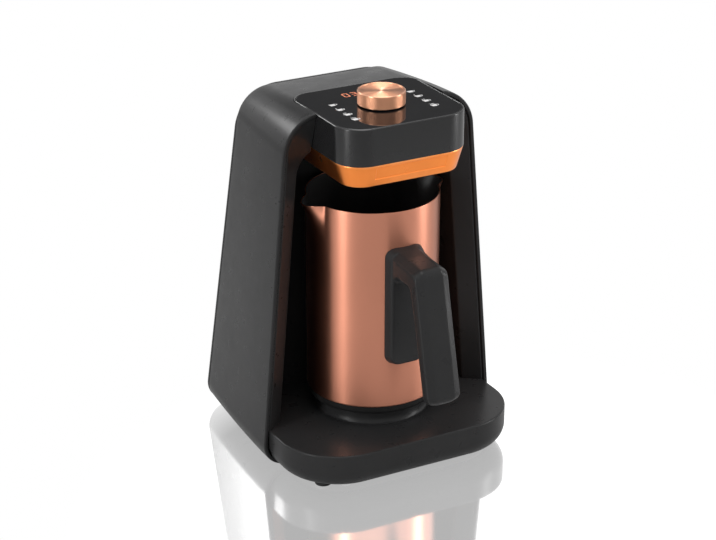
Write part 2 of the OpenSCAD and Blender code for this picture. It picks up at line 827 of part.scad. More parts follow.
encoder_w = 12.4;
bushing_r = 4.4;
shaft_r = 3;
plunger_r = 2.6;
cavity_low = board_top + 0.8;
bushing_top = glass_z + 1.8;
nut_t = 1.4;
module encoder_body() {
    color([0.6, 0.6, 0.62])
        translate([0, knob_y, 0])
            difference() {
                union() {
                    translate([-encoder_w / 2, -encoder_w / 2, board_top])
                        cube([encoder_w, encoder_w, glass_low_z - board_top - 0.1]);
                    translate([0, 0, glass_low_z - 1])
                        cylinder(r = bushing_r, h = bushing_top - glass_low_z + 1);
                }
                translate([0, 0, cavity_low])
                    cylinder(r = shaft_r + run_gap, h = 20);
            }
}
module encoder_nut() {
    color("silver")
        translate([0, knob_y, glass_z])
            difference() {
                cylinder(r = 6.6, h = nut_t, $fn = 6);
                translate([0, 0, -1])
                    cylinder(r = bushing_r + 0.05, h = 4);
            }
}
module encoder_plunger() {
    color([0.85, 0.85, 0.8])
        translate([0, knob_y, cavity_low + knob_travel + 0.1])
            cylinder(r = plunger_r, h = 1);
}
shaft_low = cavity_low + knob_travel + 1.1;
core_top = knob_z0 + knob_h - 1.3;
shaft_top = core_top - 1;
core_socket_z = bushing_top + knob_travel + 0.5;
d_cut = 1.2;
module encoder_shaft() {
    color([0.7, 0.7, 0.72])
        translate([0, knob_y, 0])
            difference() {
                translate([0, 0, shaft_low])
                    cylinder(r = shaft_r, h = shaft_top - shaft_low);
                // Flat that turns with the knob
                translate([shaft_r - d_cut, -5, core_socket_z])
                    cube([5, 10, 10]);
            }
}
module knob_core() {
    recess_r = 8.4;
    color([0.12, 0.12, 0.12])
        translate([0, knob_y, 0])
            difference() {
                translate([0, 0, knob_z0 + 0.4])
                    cylinder(r = knob_d / 2 - 1.3, h = core_top - knob_z0 - 0.4);
                translate([0, 0, knob_z0 - 1])
                    cylinder(r = recess_r, h = core_socket_z - knob_z0 + 1);
                difference() {
                    translate([0, 0, core_socket_z - 1])
                        cylinder(r = shaft_r + 0.05, h = shaft_top - core_socket_z + 1.1);
                    translate([shaft_r - d_cut + 0.05, -5, core_socket_z - 2])
                        cube([5, 10, 10]);
                }
            }
}
module knob_shell() {
    knob_top = knob_z0 + knob_h;
    color([0.82, 0.55, 0.38])
        translate([0, knob_y, 0])
            rotate_extrude($fn = 96)
                polygon([
                    [0, core_top], [knob_d / 2 - 1.3, core_top], [knob_d / 2 - 1.3, knob_z0],
                    [knob_d / 2 - 0.3, knob_z0], [knob_d / 2, knob_z0 + 0.3],
                    [knob_d / 2, knob_top - 0.5], [knob_d / 2 - 0.5, knob_top],
                    [knob_d / 2 - 1.2, knob_top], [knob_d / 2 - 1.6, knob_top - 0.4],
                    [0, knob_top - 0.4]]);
}

module buzzer() {
    color([0.05, 0.05, 0.05])
        translate([-22, knob_y + 6, board_z - 7])
            difference() {
                cylinder(r = 6, h = 7);
                translate([0, 0, -1])
                    cylinder(r = 1, h = 2, $fn = 20);
            }
}
module boil_sensor() {
    color([0.3, 0.3, 0.32])
        translate([0, pot_y, band_z0 + 0.6 + floor_t])
            cylinder(r = sensor_r, h = 12);
}
module sensor_lens() {
    color([0.3, 0.05, 0.05])
        translate([0, pot_y, band_z0 + 0.2])
            cylinder(r = sensor_window_r, h = floor_t + 0.4);
}

/* ---------------- pot ---------------- */

pot_r = pot_d / 2;
pot_foot_r = pot_foot_d / 2;
lip_droop = 1.2;
// Fine steps round each pouring lip, coarse ones between
fine_step = 3;
function lip_angles(c) = [for (a = [-21:fine_step:21]) c + a];
function pot_angles() = concat(
    lip_angles(0), [for (a = [28:7.75:152]) a],
    lip_angles(180), [for (a = [208:7.75:332]) a]);
function from_lip(a) = min(abs(a), abs(a - 180), abs(a - 360));
function lip_shape(a) =
    let (t = from_lip(a) / lip_half_angle)
    t >= 1 ? 0 : pow(cos(90 * t), 1.3);
function wall_r(z) = pot_foot_r + (pot_r - pot_foot_r) * (z - pot_z0) / pot_h;
// Share of the full lip at a height below the rim
function lip_rise(z) =
    let (t = max(0, 1 - (pot_rim_z - z) / lip_h))
    t * t;
function pot_ring(z, inset) = [
    for (a = pot_angles())
        let (s = lip_shape(a),
             k = lip_rise(z),
             r = wall_r(z) - inset + lip_out * s * k)
        [r * cos(a), pot_y + r * sin(a), z - lip_droop * s * k]];
module pot_body() {
    lip_levels = [0.25, 0.45, 0.62, 0.76, 0.88];
    lip_z = [for (t = lip_levels) pot_rim_z - lip_h * (1 - t)];
    fillet = 3;
    color([0.84, 0.56, 0.44])
        skin(concat(
            [pot_ring(pot_floor_z, pot_wall + fillet),
             pot_ring(pot_floor_z + fillet * 0.3, pot_wall + fillet * 0.3),
             pot_ring(pot_floor_z + fillet, pot_wall)],
            [pot_ring(pot_rim_z - lip_h, pot_wall)],
            [for (z = lip_z) pot_ring(z, pot_wall)],
            [pot_ring(pot_rim_z - 0.3, pot_wall),
             pot_ring(pot_rim_z, pot_wall * 0.65),
             pot_ring(pot_rim_z, pot_wall * 0.35),
             pot_ring(pot_rim_z - 0.3, 0)],
            [for (i = [len(lip_z) - 1:-1:0]) pot_ring(lip_z[i], 0)],
            [pot_ring(pot_rim_z - lip_h, 0),
             pot_ring(pot_z0 + 0.6, 0),
             pot_ring(pot_z0, 0.6),
             pot_ring(pot_z0, pot_wall),
             pot_ring(pot_floor_z - 1.2, pot_wall)]));
}

heater_z = pot_floor_z - 1.2 - 0.05;
heater_t = 2.4;
heater_r = 41;
element_r = 27;
element_tube_r = 3.3;
foot_boss_r = 3.6;
foot_boss_at = 36.2;
function foot_boss_angles() = [30, 150, 270];
module heater_plate() {
    color([0.75, 0.75, 0.78])
        translate([0, pot_y, heater_z - heater_t])
            difference() {
                cylinder(r = heater_r, h = heater_t);
                for (a = foot_boss_angles())
                    rotate(a)
                        translate([foot_boss_at, 0, -1])
                            cylinder(r = 1.3, h = 2.6, $fn = 20);
            }
}
module heating_element() {
    element_z = heater_z - heater_t - element_tube_r - 0.03;
    cold_end_l = 5;
    color([0.45, 0.42, 0.4])
        translate([0, pot_y, element_z]) {
            rotate(110)
                rotate_extrude(angle = 320)
                    translate([element_r, 0])
                        circle(r = element_tube_r, $fn = 24);
            // Cold ends turn down towards the socket
            for (a = [110, 70])
                rotate(a)
                    translate([element_r, 0, -cold_end_l])
                        cylinder(r = element_tube_r * 0.6, h = cold_end_l, $fn = 24);
        }
}
module foot_ring() {
    locate_r = pot_foot_r - pot_wall - 0.25;
    color([0.05, 0.05, 0.05])
        translate([0, pot_y, 0])
            difference() {
                union() {
                    rotate_extrude($fn = 96)
                        polygon([
                            [socket_hole_r, foot_ring_z], [pot_foot_r - 3, foot_ring_z],
                            [pot_foot_r - 1.4, foot_ring_z + 1.6], [pot_foot_r - 1.2, pot_z0 - 0.05],
                            [locate_r, pot_z0 - 0.05], [locate_r, pot_z0 + 4],
                            [locate_r - 1.6, pot_z0 + 4], [locate_r - 1.6, foot_ring_z + 2.4],
                            [socket_hole_r, foot_ring_z + 2.4]]);
                    for (a = foot_boss_angles())
                        rotate(a)
                            translate([foot_boss_at, 0, foot_ring_z + 1])
                                cylinder(r = foot_boss_r, h = heater_z - heater_t - foot_ring_z - 1.05);
                }
                for (a = foot_boss_angles())
                    rotate(a)
                        translate([foot_boss_at, 0, foot_ring_z - 1]) {
                            cylinder(r = 1.7, h = 40, $fn = 20);
                            cylinder(r = 3, h = 3.2, $fn = 24);
                        }
            }
}
socket_hole_r = 18.2;
module pot_connector() {
    top_z = socket_top_z + 5;
    color([0.1, 0.1, 0.1])
        translate([0, pot_y, 0])
            rotate_extrude()
                polygon([
                    [socket_r + free_gap, foot_ring_z + 0.1], [socket_hole_r - 0.1, foot_ring_z + 0.1],
                    [socket_hole_r - 0.1, foot_ring_z + 2.5], [socket_hole_r + 1.8, foot_ring_z + 2.5],
                    [socket_hole_r + 1.8, foot_ring_z + 4], [17, foot_ring_z + 4], [17, top_z],
                    [0, top_z], [0, socket_top_z + 0.4], [socket_r + free_gap, socket_top_z + 0.4]]);
}
module dry_boil_switch() {
    low_z = socket_top_z + 5.02;
    color([0.7, 0.7, 0.72])
        translate([0, pot_y, low_z])
            cylinder(r = 9, h = heater_z - heater_t - low_z - 0.05);
}
module foot_screws() {
    color("silver")
        translate([0, pot_y, 0])
            for (a = foot_boss_angles())
                rotate(a)
                    translate([foot_boss_at, 0, foot_ring_z + 2.2])
                        rotate([180, 0, 0])
                            translate([0, 0, 1.5])
                                screw(2.8, 1.5, 1.2, heater_z - heater_t - foot_ring_z - 1);
}

/* ---------------- handle ---------------- */

pot_clear = 0.12;
pad_front_y = pot_y - pot_r - pad_out;
arm_start_y = pot_y - pot_r + 3;
bridge_low = handle_top - bridge_t;
function grip_front_y(z) = grip_front_top_y - (grip_top_z - z) * grip_slope;
corner_r = 6;
hollow_r = 7;
hollow_in = 0.4;
grip_half = grip_w / 2;
top_c = [grip_front_y(handle_top - bridge_drop - corner_r) + corner_r / cos(grip_angle),
         handle_top - bridge_drop - corner_r];
grip_along = [-sin(grip_angle), -cos(grip_angle)];
grip_through = [cos(grip_angle), -sin(grip_angle)];
grip_end = [grip_front_y(grip_end_z), grip_end_z];
// Centre of the rounded corner between the bridge's underside and the grip's back
inner_c = let (z = bridge_low - hollow_r)
    [grip_front_y(z) + (grip_t + hollow_r) / cos(grip_angle), z];
pad_c = [pad_front_y - hollow_r + hollow_in, bridge_low - hollow_r];
function on_arc(c, r, a) = [c[0] + r * cos(a), c[1] + r * sin(a)];

// Ring of an eight-sided section from the outer to the inner side of the arm, with softened corners
function arm_ring(outer, inner, half, out_w, out_d, in_w, in_d) =
    let (run = inner - outer,
         depth = norm(run),
         corners = [
             [-(half - out_w), 0], [half - out_w, 0], [half, out_d], [half, depth - in_d],
             [half - in_w, depth], [-(half - in_w), depth], [-half, depth - in_d], [-half, out_d]],
         soft = [for (i = [0:7])
             let (p = corners[i], before = corners[(i + 7) % 8], after = corners[(i + 1) % 8])
             each [p + (before - p) / norm(before - p) * 0.6, p + (after - p) / norm(after - p) * 0.6]])
    [for (q = soft) let (m = outer + run * q[1] / depth) [q[0], m[0], m[1]]];

bridge_edge_w = 5.5;
bridge_edge_d = 4;
under_edge = 2.6;
front_edge_w = 5.3;
front_edge_d = 2;
back_edge_w = 5;
back_edge_d = 4.8;
function bridge_ring(outer, inner) =
    arm_ring(outer, inner, grip_half, bridge_edge_w, bridge_edge_d, under_edge, under_edge);
function corner_ring(t) =
    arm_ring(on_arc(top_c, corner_r, mix(88, 180 - grip_angle, t)),
             on_arc(inner_c, hollow_r, mix(90, 180 - grip_angle, t)),
             grip_half,
             mix(bridge_edge_w, front_edge_w, t), mix(bridge_edge_d, front_edge_d, t),
             mix(under_edge, back_edge_w, t), mix(under_edge, back_edge_d, t));
function grip_ring(front, inset) =
    arm_ring(front + grip_through * inset, front + grip_through * (grip_t - inset),
             grip_half - inset * 1.25, front_edge_w - inset * 0.5, front_edge_d,
             back_edge_w - inset * 0.5, back_edge_d - inset * 0.6);
module arm_solid() {
    top_y = on_arc(top_c, corner_r, 88)[0];
    skin(concat(
        [bridge_ring([arm_start_y, handle_top], [arm_start_y, bridge_low - hollow_r])],
        [for (a = [0, 30, 60, 90])
            let (t = 0.15 + 0.35 * a / 90)
            bridge_ring([mix(arm_start_y, top_y, t), handle_top - bridge_drop * sin(90 * t)],
                        on_arc(pad_c, hollow_r, a))],
        [for (t = [0:0.2:1]) corner_ring(t)],
        [grip_ring(mix(grip_end, [grip_front_y(inner_c[1]), inner_c[1]], 0.5), 0)],
        [for (a = [0:22.5:90])
            grip_ring(grip_end + grip_along * grip_end_r * sin(a), grip_end_r * (1 - cos(a)))]));
}

pad_half = grip_half + 2;
pad_low_r = 8;
pad_high_r = 7.5;
// Outline of the pad seen from the front, drawn in by inset
function pad_outline(inset) =
    let (half = pad_half - inset,
         right = concat(
             arc(half - pad_low_r + inset * 0.5, pad_low + inset + pad_low_r - inset * 0.5,
                 pad_low_r - inset * 0.5, -90, 0, 5),
             arc(half - pad_high_r + inset * 0.3, handle_top - inset - pad_high_r + inset * 0.3,
                 pad_high_r - inset * 0.3, 0, 90, 4)))
    concat(right, mirrored(right));
module pad_solid() {
    skin([
        at_y(pad_outline(3.2), pad_front_y),
        at_y(pad_outline(2), pad_front_y + 0.8),
        at_y(pad_outline(-0.3), arm_start_y)]);
}

bracket_t = 1.4;
bracket_half = 9;
bracket_low = pad_low + 14;
bracket_high = handle_top - 5;
tongue_half = 6;
tongue_t = 3;
tongue_z = bridge_low + 7;
handle_screw_y = (pad_c[0] + inner_c[0]) / 2;
tongue_end_y = handle_screw_y - 5;
plug_r = 3;
plug_t = 1.6;
// The pot's outer wall, grown by a distance, over the height of the handle
module pot_form(more) {
    low = pad_low - 5;
    high = handle_top + 15;
    translate([0, pot_y, low])
        cylinder(r1 = wall_r(low) + more, r2 = wall_r(high) + more, h = high - low, $fn = 120);
}
module handle() {
    color([0.13, 0.13, 0.135])
        difference() {
            union() {
                arm_solid();
                pad_solid();
            }
            pot_form(pot_clear);
            // Bed of the steel bracket and slot for its tongue
            intersection() {
                pot_form(pot_clear + bracket_t + 0.1);
                translate([-bracket_half - 0.1, pad_front_y - 1, bracket_low - 0.1])
                    cube([2 * bracket_half + 0.2, 20, bracket_high - bracket_low + 0.2]);
            }
            translate([-tongue_half - 0.1, tongue_end_y - 0.2, tongue_z - 0.1])
                cube([2 * tongue_half + 0.2, arm_start_y - tongue_end_y, tongue_t + 0.2]);
            // The screw comes up from the bridge's underside
            translate([0, handle_screw_y, bridge_low - 1]) {
                cylinder(r = plug_r + 0.1, h = 1 + plug_t + 2.2, $fn = 32);
                cylinder(r = 1.6, h = tongue_z - bridge_low + tongue_t + 3, $fn = 24);
            }
        }
}
module screw_cover() {
    color([0.13, 0.13, 0.135])
        translate([0, handle_screw_y, bridge_low + 0.1])
            cylinder(r = plug_r, h = plug_t, $fn = 32);
}
module handle_bracket() {
    color([0.7, 0.7, 0.72])
        difference() {
            union() {
                intersection() {
                    pot_form(pot_clear + bracket_t);
                    translate([-bracket_half, pad_front_y, bracket_low])
                        cube([2 * bracket_half, 20, bracket_high - bracket_low]);
                }
                translate([-tongue_half, tongue_end_y, tongue_z])
                    cube([2 * tongue_half, pot_y - pot_r + 2 - tongue_end_y, tongue_t]);
            }
            pot_form(pot_clear - 0.05);
            translate([0, handle_screw_y, tongue_z - 1])
                cylinder(r = 1.5, h = tongue_t + 2, $fn = 24);
        }
}
module handle_screw() {
    color("silver")
        translate([0, handle_screw_y, bridge_low + plug_t + 0.3])
            rotate([180, 0, 0])
                screw(2.7, 1.6, 1.42, tongue_z - bridge_low + tongue_t - plug_t - 0.4);
}

outer_shell();
back_cover();
bay_liner();
base_tray();
base_plate();
rubber_feet();
base_screws();
cover_screws();
cord_inlet();
pot_seat();
seat_connector();
seat_contacts();
head_housing();
copper_band();
head_floor();
head_screws();
control_glass();
display_module();
touch_springs();
control_board();
board_screws();
encoder_body();
encoder_nut();
buzzer();
boil_sensor();
sensor_lens();
power_board();
mains_relay();
supply_transformer();
power_screws();
knob_shell();
knob_core();
encoder_shaft();
encoder_plunger();
pot_body();
foot_ring();
heater_plate();
heating_element();
pot_connector();
dry_boil_switch();
foot_screws();
handle();
handle_bracket();
handle_screw();
screw_cover();
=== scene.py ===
import bpy
import bmesh
import json
import math
from mathutils import Matrix, Vector


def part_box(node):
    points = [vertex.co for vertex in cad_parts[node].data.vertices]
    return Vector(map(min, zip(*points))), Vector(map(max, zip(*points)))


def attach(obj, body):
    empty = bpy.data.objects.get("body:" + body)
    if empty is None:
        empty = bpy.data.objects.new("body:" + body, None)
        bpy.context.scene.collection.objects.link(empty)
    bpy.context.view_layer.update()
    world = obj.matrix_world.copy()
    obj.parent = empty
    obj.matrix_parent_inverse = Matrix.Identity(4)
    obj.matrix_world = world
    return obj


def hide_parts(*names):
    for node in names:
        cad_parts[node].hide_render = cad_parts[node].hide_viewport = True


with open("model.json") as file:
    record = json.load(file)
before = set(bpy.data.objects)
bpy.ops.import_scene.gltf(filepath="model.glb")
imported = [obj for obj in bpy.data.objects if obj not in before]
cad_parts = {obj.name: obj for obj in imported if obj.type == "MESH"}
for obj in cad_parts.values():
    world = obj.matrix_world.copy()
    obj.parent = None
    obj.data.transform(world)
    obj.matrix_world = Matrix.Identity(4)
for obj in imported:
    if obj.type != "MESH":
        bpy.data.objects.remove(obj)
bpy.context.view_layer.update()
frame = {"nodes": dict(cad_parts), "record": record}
MM = 0.001


def low(node):
    """Lowest corner of a CAD node's box in millimetres."""
    return [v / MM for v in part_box(node)[0]]


def high(node):
    """Highest corner of a CAD node's box in millimetres."""
    return [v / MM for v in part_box(node)[1]]


# ---- sizes in millimetres, placed by the CAD nodes' own boxes
BODY_H, BODY_W, BODY_TOP_W, BODY_D, BODY_TOP_D = 257, 185, 143, 117, 90
TOP_R, LOW_R, SHELL_WALL, LIFT = 29.5, 17, 3, 2
SIDE_DRAFT, TOP_FALL, COVER_MORE, COVER_DEPTH, EDGE_R, COVER_WALL = 8.8, 6, 8, 4.8, 3.5, 2.6
GAP = 0.2
y_front = low("outer_shell")[1]
y_back = y_front + BODY_D
lean = math.atan((BODY_W - BODY_TOP_W) / 2 / (BODY_H - LIFT))
back_slope = (BODY_D - BODY_TOP_D) / (BODY_H - LIFT)
LOW_CZ = LIFT + LOW_R
pot_y = (low("pot_seat")[1] + high("pot_seat")[1]) / 2
knob_y = (low("knob_shell")[1] + high("knob_shell")[1]) / 2
BASE_H = 30
PLAN_STEPS, ABOVE = 20, BODY_H + 3
glass_z = high("control_glass")[2]
head_z0 = low("head_housing")[2]
band_z0 = low("copper_band")[2]
head_front_y = low("head_housing")[1]
GLASS_INSET, GLASS_HOLE_R = 1.5, 4.7
head_half_w = high("control_glass")[0] + GLASS_INSET
head_rear_y = high("control_glass")[1] + GLASS_INSET
HEAD_FRONT_R, HEAD_REAR_R = 20, 14


def mix(a, b, t):
    return a + (b - a) * t


def mixed(p, q, t):
    """Points between two outlines of equal length."""
    return [tuple(mix(a, b, t) for a, b in zip(u, v)) for u, v in zip(p, q)]


def arc(cx, cy, r, a0, a1, n):
    """Points on an arc, angles in degrees."""
    steps = [math.radians(a0 + (a1 - a0) * i / n) for i in range(n + 1)]
    return [(cx + r * math.cos(a), cy + r * math.sin(a)) for a in steps]


def sin_cos(degrees):
    return math.sin(math.radians(degrees)), math.cos(math.radians(degrees))


def mirrored(points):
    return [(-p[0],) + tuple(p[1:]) for p in reversed(points)]


def side_x(z):
    """Half the shell's width at a height, without the rounded corners."""
    return BODY_W / 2 - (z - LIFT) * math.tan(lean)


def back_y(z):
    """The slanted back's place at a height."""
    return y_back - (z - LIFT) * back_slope


def housing(inset, share=0.0, more=0.0):
    """Outline of the housing in X and Z, open at the bottom, right side first."""
    t = share ** 1.5
    side = inset + SIDE_DRAFT * t
    r_low = LOW_R - inset
    r_top = TOP_R + more - TOP_FALL * t - inset
    z_top = BODY_H - TOP_R - more
    deg = math.degrees(lean)
    lower = arc(side_x(LOW_CZ) - (side + r_low) / math.cos(lean), LOW_CZ, r_low, -90, deg, 16)
    upper = arc(side_x(z_top) - (side + r_top) / math.cos(lean), z_top, r_top, deg, 90, 28)
    return lower + mixed([lower[-1]], [upper[0]], 0.5) + upper


def full(half):
    """Right half and its mirror image, as one outline."""
    return half + mirrored(half)


def on_shell(points, share):
    return [(p[0], mix(y_front, back_y(p[1]) - COVER_DEPTH, share), p[1]) for p in points]


def at_y(points, y):
    return [(p[0], y, p[1]) for p in points]


def at_z(points, z):
    return [(p[0], p[1], z) for p in points]


def on_back(points, depth):
    return [(p[0], back_y(p[1]) - depth, p[1]) for p in points]


def plan(half_w, y_low, y_high, r_front, r_rear):
    """Rounded plan outline, closed, counter-clockwise from above."""
    right = arc(half_w - r_front, y_low + r_front, r_front, -90, 0, PLAN_STEPS)
    right += arc(half_w - r_rear, y_high - r_rear, r_rear, 0, 90, PLAN_STEPS)
    return full(right)


def head_plan(inset):
    return plan(head_half_w - inset, head_front_y + inset, head_rear_y - inset,
                HEAD_FRONT_R - inset, HEAD_REAR_R - inset)


def rectangle(half_w, y_low, y_high):
    return [(-half_w, y_low), (half_w, y_low), (half_w, y_high), (-half_w, y_high)]


def arch(half_w, z_top, r):
    """Arch outline that stands on the base, open at the bottom."""
    cz = z_top - r
    cx = half_w - (cz - BASE_H) * math.tan(lean) - r / math.cos(lean)
    foot = (half_w, BASE_H)
    upper = arc(cx, cz, r, math.degrees(lean), 90, 24)
    return full([foot] + mixed([foot], [upper[0]], 0.5) + upper)


# ---- mesh makers
def new_object(name, verts, faces):
    mesh = bpy.data.meshes.new(name)
    mesh.from_pydata([Vector(v) * MM for v in verts], [], faces)
    obj = bpy.data.objects.new(name, mesh)
    bpy.context.scene.collection.objects.link(obj)
    return obj


def loft(name, rings, ring_closed=True, path_closed=False, caps=True):
    """Skin through rings of equal length."""
    n, m = len(rings[0]), len(rings)
    verts = [p for ring in rings for p in ring]
    faces = []
    for k in range(m if path_closed else m - 1):
        for i in range(n if ring_closed else n - 1):
            a, b = k * n + i, k * n + (i + 1) % n
            c, d = ((k + 1) % m) * n + (i + 1) % n, ((k + 1) % m) * n + i
            faces.append((a, b, c, d))
    if caps and not path_closed:
        faces.append(tuple(range(n - 1, -1, -1)))
        faces.append(tuple((m - 1) * n + i for i in range(n)))
    if caps and path_closed and not ring_closed:
        faces.append(tuple(k * n for k in range(m)))
        faces.append(tuple(k * n + n - 1 for k in range(m - 1, -1, -1)))
    return new_object(name, verts, faces)


def lathe(name, profile, centre_y, segments, radius=None):
    """Turned body about the vertical axis through (0, centre_y). The profile is (r, z) pairs."""
    rings = []
    for s in range(segments):
        a = 2 * math.pi * s / segments
        ring = []
        for r, z in profile:
            rr = radius(r, z, a) if radius else r
            ring.append((rr * math.cos(a), centre_y + rr * math.sin(a), z))
        rings.append(ring)
    return loft(name, rings, path_closed=True, caps=False)


def apply_modifiers(obj):
    deps = bpy.context.evaluated_depsgraph_get()
    mesh = bpy.data.meshes.new_from_object(obj.evaluated_get(deps))
    obj.modifiers.clear()
    old = obj.data
    obj.data = mesh
    bpy.data.meshes.remove(old)


SHARP_ANGLE, MERGE, NORMAL_WEIGHT = 32.0, 0.002, 60


def tidy(obj, angle=SHARP_ANGLE):
    """Merges doubles, turns faces outwards, shades smooth and keeps edges above the angle sharp."""
    bm = bmesh.new()
    bm.from_mesh(obj.data)
    bmesh.ops.remove_doubles(bm, verts=bm.verts, dist=MERGE * MM)
    bmesh.ops.dissolve_degenerate(bm, edges=bm.edges, dist=MERGE * MM)
    bmesh.ops.recalc_face_normals(bm, faces=bm.faces)
    limit = math.radians(angle)
    for face in bm.faces:
        face.smooth = True
    for edge in bm.edges:
        edge.smooth = len(edge.link_faces) == 2 and edge.calc_face_angle(0) < limit
    bm.to_mesh(obj.data)
    bm.free()


def weighted(obj):
    modifier = obj.modifiers.new("normals", "WEIGHTED_NORMAL")
    modifier.keep_sharp = True
    modifier.weight = NORMAL_WEIGHT


def cut(obj, cutter):
    """Takes the cutter's volume out of the object."""
    for o in (obj, cutter):
        tidy(o)
    modifier = obj.modifiers.new("cut", "BOOLEAN")
    modifier.operation = "DIFFERENCE"
    modifier.solver = "EXACT"
    modifier.object = cutter
    apply_modifiers(obj)
    bpy.data.objects.remove(cutter)


def prism(points, z0, z1):
    """Upright body over an outline, for cutting."""
    return loft("cutter", [at_z(points, z0), at_z(points, z1)])


def round_rod(x, y, z0, z1, r, n=48):
    return prism(arc(x, y, r, 0, 360 - 360 / n, n - 1), z0, z1)


def joined(objs):
    """All meshes in the first object; the others go."""
    bm = bmesh.new()
    for o in objs:
        bm.from_mesh(o.data)
    mesh = bpy.data.meshes.new("joined")
    bm.to_mesh(mesh)
    bm.free()
    first = objs[0]
    old = [o.data for o in objs]
    first.data = mesh
    for o in objs[1:]:
        bpy.data.objects.remove(o)
    for m in old:
        bpy.data.meshes.remove(m)
    return first


# ---- materials
SMUDGE_SCALE, CLOUD_DARK = 3.7, 0.88


def node_tree(name):
    material = bpy.data.materials.new(name)
    material.use_nodes = True
    tree = material.node_tree
    shader = tree.nodes["Principled BSDF"]
    return material, tree, shader


def add(tree, kind, **values):
    node = tree.nodes.new(kind)
    for key, value in values.items():
        if key.startswith("in_"):
            node.inputs[key[3:].replace("_", " ")].default_value = value
        else:
            setattr(node, key, value)
    return node


def noise(tree, coords, scale, detail=3.0, rough=0.5, stretch=None):
    source = coords
    if stretch:
        mapping = add(tree, "ShaderNodeMapping")
        mapping.inputs["Scale"].default_value = stretch
        tree.links.new(coords, mapping.inputs["Vector"])
        source = mapping.outputs["Vector"]
    node = add(tree, "ShaderNodeTexNoise", in_Scale=scale, in_Detail=detail, in_Roughness=rough)
    tree.links.new(source, node.inputs["Vector"])
    return node.outputs["Fac"]


def ranged(tree, value, a, b, lo=0.3, hi=0.7):
    node = add(tree, "ShaderNodeMapRange")
    node.inputs["From Min"].default_value = lo
    node.inputs["From Max"].default_value = hi
    node.inputs["To Min"].default_value = a
    node.inputs["To Max"].default_value = b
    tree.links.new(value, node.inputs["Value"])
    return node.outputs["Result"]


def blend_colour(tree, factor, first, second):
    node = add(tree, "ShaderNodeMix", data_type="RGBA")
    for socket, value in (("A", first), ("B", second)):
        target = [s for s in node.inputs if s.name == socket and s.type == "RGBA"][0]
        if isinstance(value, tuple):
            target.default_value = value + (1.0,)
        else:
            tree.links.new(value, target)
    tree.links.new(factor, node.inputs["Factor"])
    return [s for s in node.outputs if s.type == "RGBA"][0]


def surface(name, colour, worn, rough, rough_spread=0.05, metal=0.0, grain=2200.0,
            grain_height=0.00002, grain_strength=0.25, cloud=25.0, edge=0.35, stretch=None,
            **sockets):
    """Moulded, turned or brushed: clouded colour, worn edges, varied roughness and a fine grain."""
    material, tree, shader = node_tree(name)
    coords = add(tree, "ShaderNodeTexCoord").outputs["Object"]
    clouds = noise(tree, coords, cloud, 4.0)
    smudges = noise(tree, coords, cloud * SMUDGE_SCALE, 6.0, 0.6)
    darker = tuple(c * CLOUD_DARK for c in colour)
    tone = blend_colour(tree, ranged(tree, clouds, 0.0, 1.0), darker, colour)
    edges = add(tree, "ShaderNodeNewGeometry").outputs["Pointiness"]
    wear = add(tree, "ShaderNodeMath", operation="MULTIPLY")
    tree.links.new(ranged(tree, edges, 0.0, edge, 0.52, 0.62), wear.inputs[0])
    tree.links.new(ranged(tree, smudges, 0.3, 1.0, 0.35, 0.6), wear.inputs[1])
    tone = blend_colour(tree, wear.outputs[0], tone, worn)
    tree.links.new(tone, shader.inputs["Base Color"])
    tree.links.new(ranged(tree, smudges, rough - rough_spread, rough + rough_spread),
                   shader.inputs["Roughness"])
    shader.inputs["Metallic"].default_value = metal
    fine = noise(tree, coords, grain, 2.0, 0.6, stretch)
    bump = add(tree, "ShaderNodeBump")
    bump.inputs["Strength"].default_value = grain_strength
    bump.inputs["Distance"].default_value = grain_height
    tree.links.new(fine, bump.inputs["Height"])
    tree.links.new(bump.outputs["Normal"], shader.inputs["Normal"])
    for key, value in sockets.items():
        shader.inputs[key.replace("_", " ")].default_value = value
    return material, tree, shader


def simple(*args, **kwargs):
    return surface(*args, **kwargs)[0]


def turned_tangent(tree, shader, amount):
    """Streaks of light across the grooves of a surface turned about its Z axis."""
    tangent = add(tree, "ShaderNodeTangent", direction_type="RADIAL", axis="Z")
    shader.inputs["Anisotropic"].default_value = amount
    shader.inputs["Anisotropic Rotation"].default_value = 0.25
    tree.links.new(tangent.outputs["Tangent"], shader.inputs["Tangent"])


def board_material():
    material, tree, shader = surface("board_green", (0.03, 0.17, 0.07), (0.1, 0.3, 0.15), 0.42,
                                     grain=900.0, grain_height=0.00003)
    coords = add(tree, "ShaderNodeTexCoord").outputs["Object"]
    tracks = add(tree, "ShaderNodeTexBrick", in_Scale=240.0)
    tracks.inputs["Mortar Size"].default_value = 0.035
    tracks.inputs["Color1"].default_value = (0.02, 0.14, 0.055, 1)
    tracks.inputs["Color2"].default_value = (0.028, 0.19, 0.075, 1)
    tracks.inputs["Mortar"].default_value = (0.09, 0.33, 0.14, 1)
    tree.links.new(coords, tracks.inputs["Vector"])
    tree.links.new(tracks.outputs["Color"], shader.inputs["Base Color"])
    return material


def winding_material():
    material, tree, shader = surface("copper_winding", (0.5, 0.27, 0.1), (0.8, 0.6, 0.35), 0.35,
                                     metal=0.6)
    coords = add(tree, "ShaderNodeTexCoord").outputs["Object"]
    wires = add(tree, "ShaderNodeTexWave", in_Scale=900.0, bands_direction="Z")
    tree.links.new(coords, wires.inputs["Vector"])
    tone = blend_colour(tree, wires.outputs["Fac"], (0.25, 0.11, 0.04), (0.62, 0.36, 0.15))
    tree.links.new(tone, shader.inputs["Base Color"])
    return material


def brushed_pot():
    material, tree, shader = surface(
        "copper_pot", (0.58, 0.245, 0.16), (0.92, 0.68, 0.55), 0.36, 0.025, 1.0, grain=1500.0,
        grain_height=0.00001, grain_strength=0.08, cloud=9.0, edge=0.0, stretch=(0.12, 0.12, 3.0))
    turned_tangent(tree, shader, 0.75)
    return material


